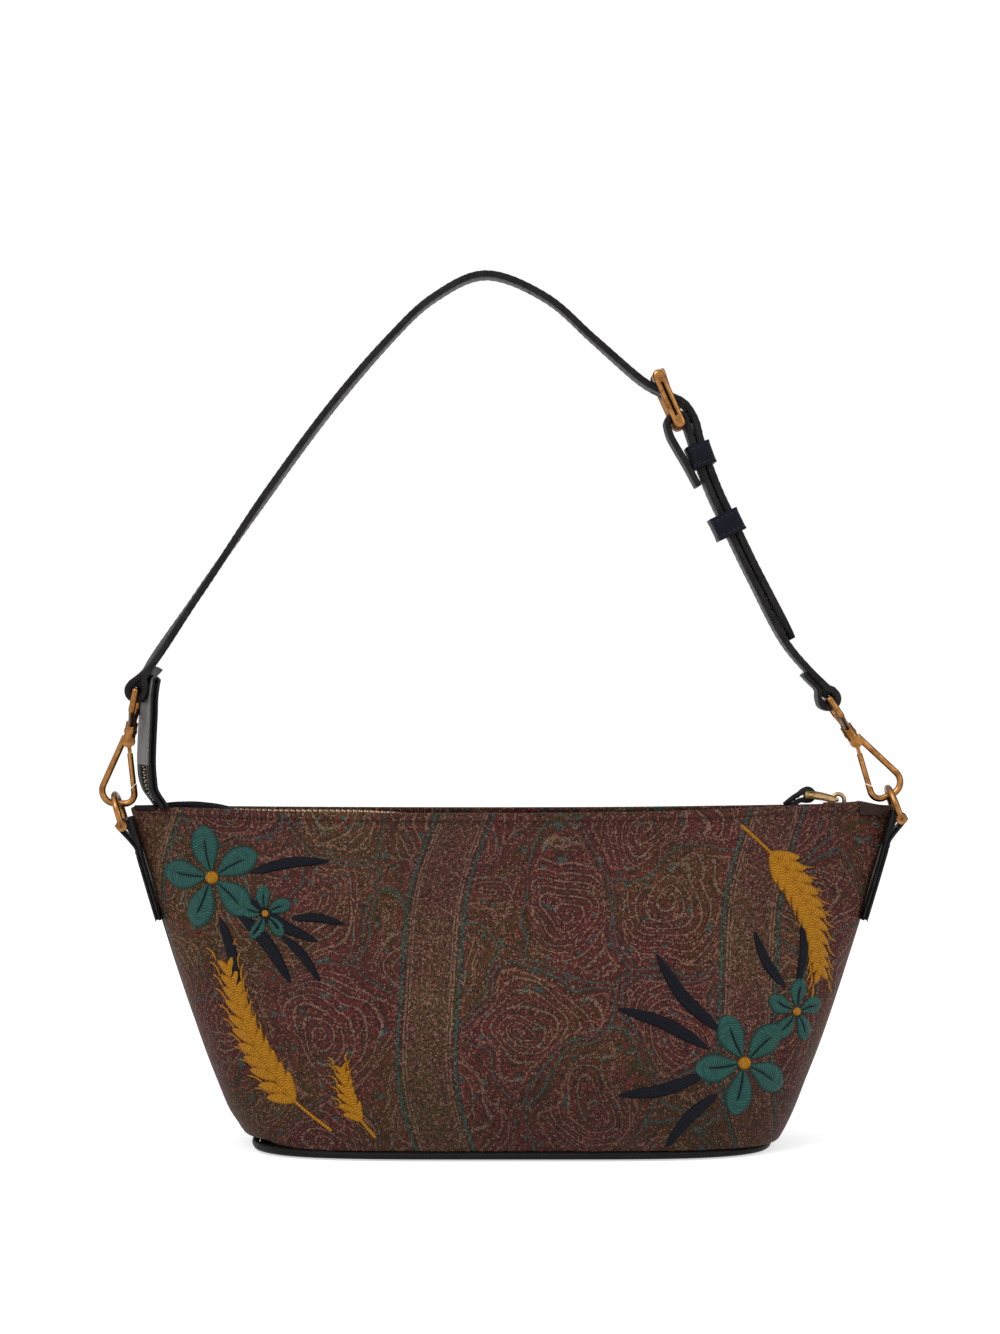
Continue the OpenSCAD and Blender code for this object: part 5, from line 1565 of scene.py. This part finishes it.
def keeper(node, pair, index, body, wide, t, loose=0.0):
    """A leather loop sewn round both parts of the strap, looser on its left side by some millimetres."""
    u = along(pair, index)
    centre, n = pair[index], -left_of(u)
    inner_n, inner_y, ply, h, corner, flare = (2 * t + 0.9) / 2, (wide + 0.6) / 2, 1.2, 4.5, 0.9, 0.4
    path = []
    for cx, cy, a0 in ((1, 1, 0), (-1, 1, 90), (-1, -1, 180), (1, -1, 270)):
        for k in range(5):
            a = math.radians(a0 + 90 * k / 4)
            c, s = math.cos(a), math.sin(a)
            path.append((cx * (inner_n - corner) + corner * c + (loose if cx > 0 else 0.0),
                         cy * (inner_y - corner) + corner * s, c, s))
    # section of the loop: distance out from the strap and place along it, over the rim and its stitch groove
    rim = [(0.25, h), (ply - 0.35, h), (ply - 0.05, h - 0.35), (ply - 0.02, h - 1.1), (ply - 0.16, h - 1.45),
           (ply, h - 1.8)]
    section = [(0.02, -h + 0.3), (0.02, 0), (0.02, h - 0.3)] + rim + [(ply + 0.05, 0)]
    section += [(d, -l) for d, l in reversed(rim)]

    def placed(x, y, c, s, out, l):
        q = centre + n * (x + c * out) + u * l
        return q[0], y + s * out, q[1]
    points = [placed(*p, d + flare * (abs(l) / h) ** 4, l) for p in path for d, l in section]
    faces = grid_faces(len(path), len(section), wrap_rows=True, wrap_cols=True)
    edge = [float(i % len(section) in (3, 4, 14, 15)) for i in range(len(points))]
    piece(node + "_leather", points, faces, finish("navy_leather"), body, [node], marks={"edge": edge})
    lines = [[placed(*p, ply - 0.02, l) for p in path + path[:1]] for l in (-h + 1.45, h - 1.45)]
    stitches(node + "_stitches", lines, body, "navy_thread", gauge=0.36, pitch=1.9, length=1.35)


# ---------------------------------------------------------------- metal

def stadium(radius, half_length, y, count):
    """A ring of points round a slot shape along the buckle, in a plane across Y."""
    out = []
    for k in range(count):
        a = 2 * math.pi * (k + 0.5) / count
        c, s = math.cos(a), math.sin(a)
        p = BUCKLE_MID + left_of(BUCKLE_AXIS) * radius * c + BUCKLE_AXIS * (radius * s + math.copysign(half_length, s))
        out.append((p[0], y, p[1]))
    return out


def build_buckle():
    """Buckle frame: two rounded side rails, each with a sunk groove, and the two bars between them."""
    half, count, out, deep, radius = 9.73, 40, -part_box("buckle_frame")[0][1] / MM, RAIL_T, RAIL_W / 2
    rings = [(0.06, half - 3.6, 0.62), (0.34, half - 3.5, 0.62), (0.5, half - 3.3, 0.1), (0.72, half - 3.0, 0.0),
             (1.2, half - 0.6, 0.04), (1.6, half, 0.16), (2.0, half, 0.42), (radius, half, 0.95),
             (radius, half, deep - 0.75), (2.0, half, deep - 0.25), (1.4, half, deep), (0.06, half, deep)]
    dark = {"groove": [1.0] * 2 * count + [0.7] * count + [0.0] * (count * (len(rings) - 3))}
    faces = tube_faces(len(rings), count)
    parts = []
    for sign in (-1, 1):
        points = [p for r, length, y in rings for p in stadium(r, length, sign * (out - y), count)]
        parts.append((points, faces, dark))
    for end, r in ((-1, 1.5), (1, 1.7)):
        p = BUCKLE_MID + BUCKLE_AXIS * half * end
        points, faces = tube([(p[0], y, p[1]) for y in (-out + deep - 0.3, out - deep + 0.3)], r, 24)
        parts.append((points, faces, {"groove": [0.0] * len(points)}))
    points, faces, marks = merged(parts)
    piece("buckle_rails", points, faces, finish("gold_metal"), "buckle", ["buckle_frame"], marks=marks,
          sharp=45)


def build_metal():
    for side in ("left", "right"):
        for part in ("d_ring", "hook_body", "hook_gate", "gate_rivet", "hook_eye"):
            dress(side + "_" + part, "gold_metal")
    dress("buckle_prong", "gold_metal")
    build_buckle()


# ---------------------------------------------------------------- embroidery

def leaf_form(line, half, relief, rows=26, cols=11, ridge=0.0):
    """A satin-stitched form along a flat line: flat places, heights and its own flat map."""
    p = evenly(line, lengths(line)[-1] / rows)
    run = lengths(p)
    where, high, uv, rim = [], [], [], []
    for i, at in enumerate(run / run[-1]):
        n, w = left_of(along(p, i)), half(at)
        cap = min(1.0, 4 * at + 0.25) * min(1.0, 5 * (1 - at) + 0.25)
        for k in np.linspace(-1, 1, cols):
            dome = math.sqrt(max(0, 1 - abs(k) ** 2.6)) * (1 - ridge * math.exp(-(k / 0.16) ** 2))
            where.append(p[i] + n * w * k)
            high.append(max(relief * dome * cap, 0.0) - 0.06 * (abs(k) > 0.99))
            uv.append((run[i], w * k))
            rim.append(max(abs(k), 1 - min(i, len(p) - 1 - i) / 1.5))
    return np.array(where), np.array(high), uv, rim, grid_faces(len(p), cols)


def embroider(name, forms, material, surface, lift=0.04):
    """One piece of embroidery from flat forms; each point is marked with how near the rim it lies."""
    points, faces, uv, rim = [], [], [], []
    for where, high, flat, edge, quads in forms:
        faces += [tuple(i + len(points) for i in f) for f in quads]
        points += list(surface.at(where[:, 0], np.clip(where[:, 1], 4.5, MOUTH_Z - 1.5), high + lift))
        uv += flat
        rim += edge
    obj = piece(name, points, faces, finish(material), uv=np.array(uv), turn=False, marks={"rim": rim})
    if sum(f.normal.y * f.area for f in obj.data.polygons) > 0:
        obj.data.flip_normals()
    finish_piece(obj, "bag")


def pointed(width, power, lead):
    """Half the width of a leaf along its length, from point to point."""
    return lambda t: width * max(0.03, math.sin(math.pi * min(t, 1) ** lead)) ** power


def petal_line(centre, degrees, start, length, bow):
    """The middle line of a petal or leaf that points away from a centre and bows to its left."""
    u = np.array([math.cos(math.radians(degrees)), math.sin(math.radians(degrees))])
    n, c = left_of(u), np.asarray(centre, float)
    middle, tip = c + u * (start + length * 0.5) + n * bow, c + u * (start + length) + n * bow * 0.4
    return smooth([c + u * start, middle, tip], 8)


def blossom(centre, across, turn, petals=5):
    """Petals round a heart: the rounded petals, and the dark lines along their middles."""
    rounds, veins = [], []
    for k in range(petals):
        a = turn + 360 * k / petals
        rounds.append(leaf_form(petal_line(centre, a, across * 0.10, across * 0.9, 0.8),
                                pointed(across * 0.285, 0.62, 1.35), 0.95, ridge=0.55))
        veins.append(leaf_form(petal_line(centre, a, across * 0.14, across * 0.62, 0.6), pointed(0.38, 0.4, 1.0),
                               0.72, 14, 5))
    return rounds, veins


def ear(stem, pairs, grain, lean, awn):
    """An ear of grain along a stem: paired seeds that lean to the tip, each with a thin awn."""
    p = evenly(smooth(stem, 8), 0.8)
    run = lengths(p)
    forms = [leaf_form(p, lambda t: 0.62 * (1.05 - 0.5 * t), 0.75, 60, 5)]
    for k in range(pairs):
        i = int(np.argmin(abs(run - run[-1] * (0.20 + 0.80 * (k + 0.5) / pairs))))
        u, small = along(p, i), 1 - 0.30 * (k / pairs) ** 2
        way = math.degrees(math.atan2(u[1], u[0]))
        for side in (-1, 1):
            seed = petal_line(p[i], way + side * lean * (1 - 0.35 * k / pairs), 0.3, grain * small, -side * 0.9)
            forms.append(leaf_form(seed, pointed(grain * 0.19 * small, 0.7, 1.0), 0.95, 14, 7))
            hair = petal_line(p[i], way + side * lean * 0.75, grain * 0.8, awn * small, -side * 1.2)
            forms.append(leaf_form(hair, pointed(0.42, 0.5, 0.8), 0.45, 12, 5))
    return forms


EARS = [([(-66, 10), (-84, 24), (-98, 44), (-106, 66)], 11, 11.5, 36, 8.5),
        ([(86, 121), (101, 106), (112, 88), (117, 68)], 11, 11.5, 36, 8.5),
        ([(-50, 8), (-58, 18), (-62, 30)], 6, 7.5, 34, 5.5)]
# each blossom's centre, width, turn and heart, and its leaves: direction, length, half width and bow
BLOSSOMS = [
    ((-113, 101), 20, 100, 2.6, [(-52, 34, 2.5, 2.5), (-28, 32, 2.3, -2.2), (-78, 30, 2.2, 2.0), (8, 30, 2.2, 2.0)]),
    ((86, 34), 19, 40, 2.5, [(128, 36, 2.5, 3.0), (158, 36, 2.4, -2.5), (192, 33, 2.3, 2.5), (226, 27, 2.2, -2.0)]),
    ((107, 52), 12.5, 80, 1.7, [(118, 24, 2.0, 2.2), (88, 22, 1.9, -2.0)]),
    ((-92, 88), 10.5, 20, 1.5, [(-50, 22, 1.8, 1.5), (-8, 20, 1.7, 1.5)])]


def build_embroidery():
    surface = Surface()
    golds, teals, veins, leaves = [form for row in EARS for form in ear(*row)], [], [], []
    for centre, across, turn, r, around in BLOSSOMS:
        rounds, lines = blossom(centre, across, turn)
        teals += rounds
        veins += lines
        for degrees, length, wide, bow in around:
            line = petal_line(centre, degrees, 15 if wide > 2.1 else 10, length, bow)
            leaves.append(leaf_form(line, pointed(wide, 0.5, 0.9), 0.85, ridge=0.25))
        ends = [np.array(centre) - np.array([r, 0]), np.array(centre) + np.array([r, 0])]
        golds.append(leaf_form(ends, lambda s, r=r: r * math.sqrt(max(0.02, 1 - (2 * s - 1) ** 2)), 1.35, 12, 9))
    embroider("navy_leaves", leaves, "navy_thread_satin", surface)
    embroider("teal_blossoms", teals, "teal_thread", surface)
    embroider("blossom_veins", veins, "navy_thread_satin", surface, 0.4)
    embroider("gold_ears", golds, "gold_thread", surface)


# ---------------------------------------------------------------- stage

def build_floor(half=9.0, below=-0.0006):
    """A wide pale floor that the camera sees as white, though it still takes shadows."""
    mesh = bpy.data.meshes.new("floor")
    mesh.from_pydata([(x * half, y * half, below) for x, y in ((-1, -1), (1, -1), (1, 1), (-1, 1))], [], [(0, 1, 2, 3)])
    floor = bpy.data.objects.new("floor", mesh)
    bpy.context.scene.collection.objects.link(floor)
    material = bpy.data.materials.new("pale_floor")
    material.use_nodes = True
    material.node_tree.nodes.clear()
    net = Net(material.node_tree)
    matte = net.filled(net.add("ShaderNodeBsdfDiffuse"), Color=(0.86, 0.86, 0.86, 1))["BSDF"]
    glow = net.filled(net.add("ShaderNodeEmission"), Strength=net.seen() * 0.6)["Emission"]
    net.put(net.fed(net.add("ShaderNodeAddShader"), matte, glow), net.add("ShaderNodeOutputMaterial").inputs[0])
    mesh.materials.append(material)


def build_stage():
    s = settings("stage")
    scene = bpy.context.scene
    camera = bpy.data.cameras.new("camera")
    camera.sensor_width, camera.lens = 36, 36 * s.distance / s.tall
    camera.clip_start, camera.clip_end = 0.05, 50
    eye = bpy.data.objects.new("camera", camera)
    eye.location, eye.rotation_euler = (-0.00437, -s.distance, s.eye), (math.pi / 2, 0, 0)
    scene.collection.objects.link(eye)
    scene.camera = eye
    build_floor()
    world = scene.world = bpy.data.worlds.new("studio")
    world.use_nodes = True
    world.node_tree.nodes.clear()
    net = Net(world.node_tree)
    sky = net.add("ShaderNodeBackground")
    light = net.fed(sky, (1, 1, 1, 1), net.span(net.seen(), 0.0, 1.0, s.sky, 1.0))
    net.put(light, net.add("ShaderNodeOutputWorld").inputs[0])
    for name, place, aim, wide, power in (("key_lamp", (-0.75, -1.15, 1.25), (0, 0, 0.12), 0.9, s.key),
                                          ("fill_lamp", (1.1, -0.9, 0.6), (0, 0, 0.15), 0.8, s.fill)):
        lamp = bpy.data.lights.new(name, "AREA")
        lamp.energy, lamp.size = power, wide
        obj = bpy.data.objects.new(name, lamp)
        obj.location = place
        obj.rotation_euler = (Vector(aim) - Vector(place)).to_track_quat("-Z", "Y").to_euler()
        scene.collection.objects.link(obj)
    scene.view_settings.view_transform = "Standard"


# ---------------------------------------------------------------- add-on

class BAG_OT_shell(bpy.types.Operator):
    """Front and back of the body in woven cloth, stitched along the mouth"""
    bl_idname = "bag.shell"
    bl_label = "Front and back"

    def execute(self, context):
        build_shell()
        return {"FINISHED"}


class BAG_OT_base(bpy.types.Operator):
    """Leather base, the piping round it and the board inside"""
    bl_idname = "bag.base"
    bl_label = "Base and piping"

    def execute(self, context):
        build_base()
        return {"FINISHED"}


class BAG_OT_inside(bpy.types.Operator):
    """Linings, facings and the slip pocket"""
    bl_idname = "bag.inside"
    bl_label = "Lining and pocket"

    def execute(self, context):
        build_inside()
        return {"FINISHED"}


class BAG_OT_zip(bpy.types.Operator):
    """Tapes, teeth and slider of the zip"""
    bl_idname = "bag.zip"
    bl_label = "Zip"

    def execute(self, context):
        build_zip()
        return {"FINISHED"}


class BAG_OT_pull_tab(bpy.types.Operator):
    """Leather loop on the zip's puller"""
    bl_idname = "bag.pull_tab"
    bl_label = "Pull tab"

    def execute(self, context):
        build_pull_tab()
        return {"FINISHED"}


class BAG_OT_tail(bpy.types.Operator):
    """Upright leather end of the zip"""
    bl_idname = "bag.tail"
    bl_label = "Tail of the zip"

    def execute(self, context):
        build_tail()
        return {"FINISHED"}


class BAG_OT_ends(bpy.types.Operator):
    """Folded tabs that hold the rings, and the leather over the ends of the mouth"""
    bl_idname = "bag.ends"
    bl_label = "Side tabs and end leather"

    def execute(self, context):
        build_side_tabs()
        return {"FINISHED"}


class BAG_OT_strap(bpy.types.Operator):
    """Both parts of the strap, their stitches and the keepers"""
    bl_idname = "bag.strap"
    bl_label = "Strap and keepers"

    def execute(self, context):
        build_strap()
        return {"FINISHED"}


class BAG_OT_metal(bpy.types.Operator):
    """Rings, hooks and buckle in worn gold"""
    bl_idname = "bag.metal"
    bl_label = "Rings, hooks and buckle"

    def execute(self, context):
        build_metal()
        return {"FINISHED"}


class BAG_OT_embroidery(bpy.types.Operator):
    """Blossoms, leaves and ears of grain in satin stitch on the front"""
    bl_idname = "bag.embroidery"
    bl_label = "Embroidery"

    def execute(self, context):
        build_embroidery()
        return {"FINISHED"}


class BAG_OT_stage(bpy.types.Operator):
    """Floor, surround, lamps and camera"""
    bl_idname = "bag.stage"
    bl_label = "Stage"

    def execute(self, context):
        build_stage()
        return {"FINISHED"}


class BAG_PT_bag(bpy.types.Panel):
    """Steps that build the bag, and the sizes and colours they use"""
    bl_idname = "BAG_PT_bag"
    bl_label = "Crossbody bag"
    bl_space_type = "VIEW_3D"
    bl_region_type = "UI"
    bl_category = "Bag"

    def draw(self, context):
        for step in STEPS:
            self.layout.operator(step.bl_idname)
        for name, group in GROUPS.items():
            box = self.layout.box()
            box.label(text=name.capitalize())
            for key in group.__annotations__:
                box.prop(getattr(context.scene, "bag_" + name), key)


GROUPS = {"body": BAG_PG_body, "strap": BAG_PG_strap, "thread": BAG_PG_thread, "cloth": BAG_PG_cloth,
          "finish": BAG_PG_finish, "stage": BAG_PG_stage}
STEPS = (BAG_OT_shell, BAG_OT_base, BAG_OT_inside, BAG_OT_zip, BAG_OT_pull_tab, BAG_OT_tail, BAG_OT_ends, BAG_OT_strap,
         BAG_OT_metal, BAG_OT_embroidery, BAG_OT_stage)


def register():
    for cls in (*GROUPS.values(), *STEPS, BAG_PT_bag):
        bpy.utils.register_class(cls)
    for name, group in GROUPS.items():
        setattr(bpy.types.Scene, "bag_" + name, PointerProperty(type=group))


def unregister():
    for name in GROUPS:
        delattr(bpy.types.Scene, "bag_" + name)
    for cls in reversed((*GROUPS.values(), *STEPS, BAG_PT_bag)):
        bpy.utils.unregister_class(cls)


def main():
    register()
    for step in STEPS:
        getattr(bpy.ops.bag, step.bl_idname.split(".")[1])()
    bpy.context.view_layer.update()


if __name__ == "__main__":
    main()
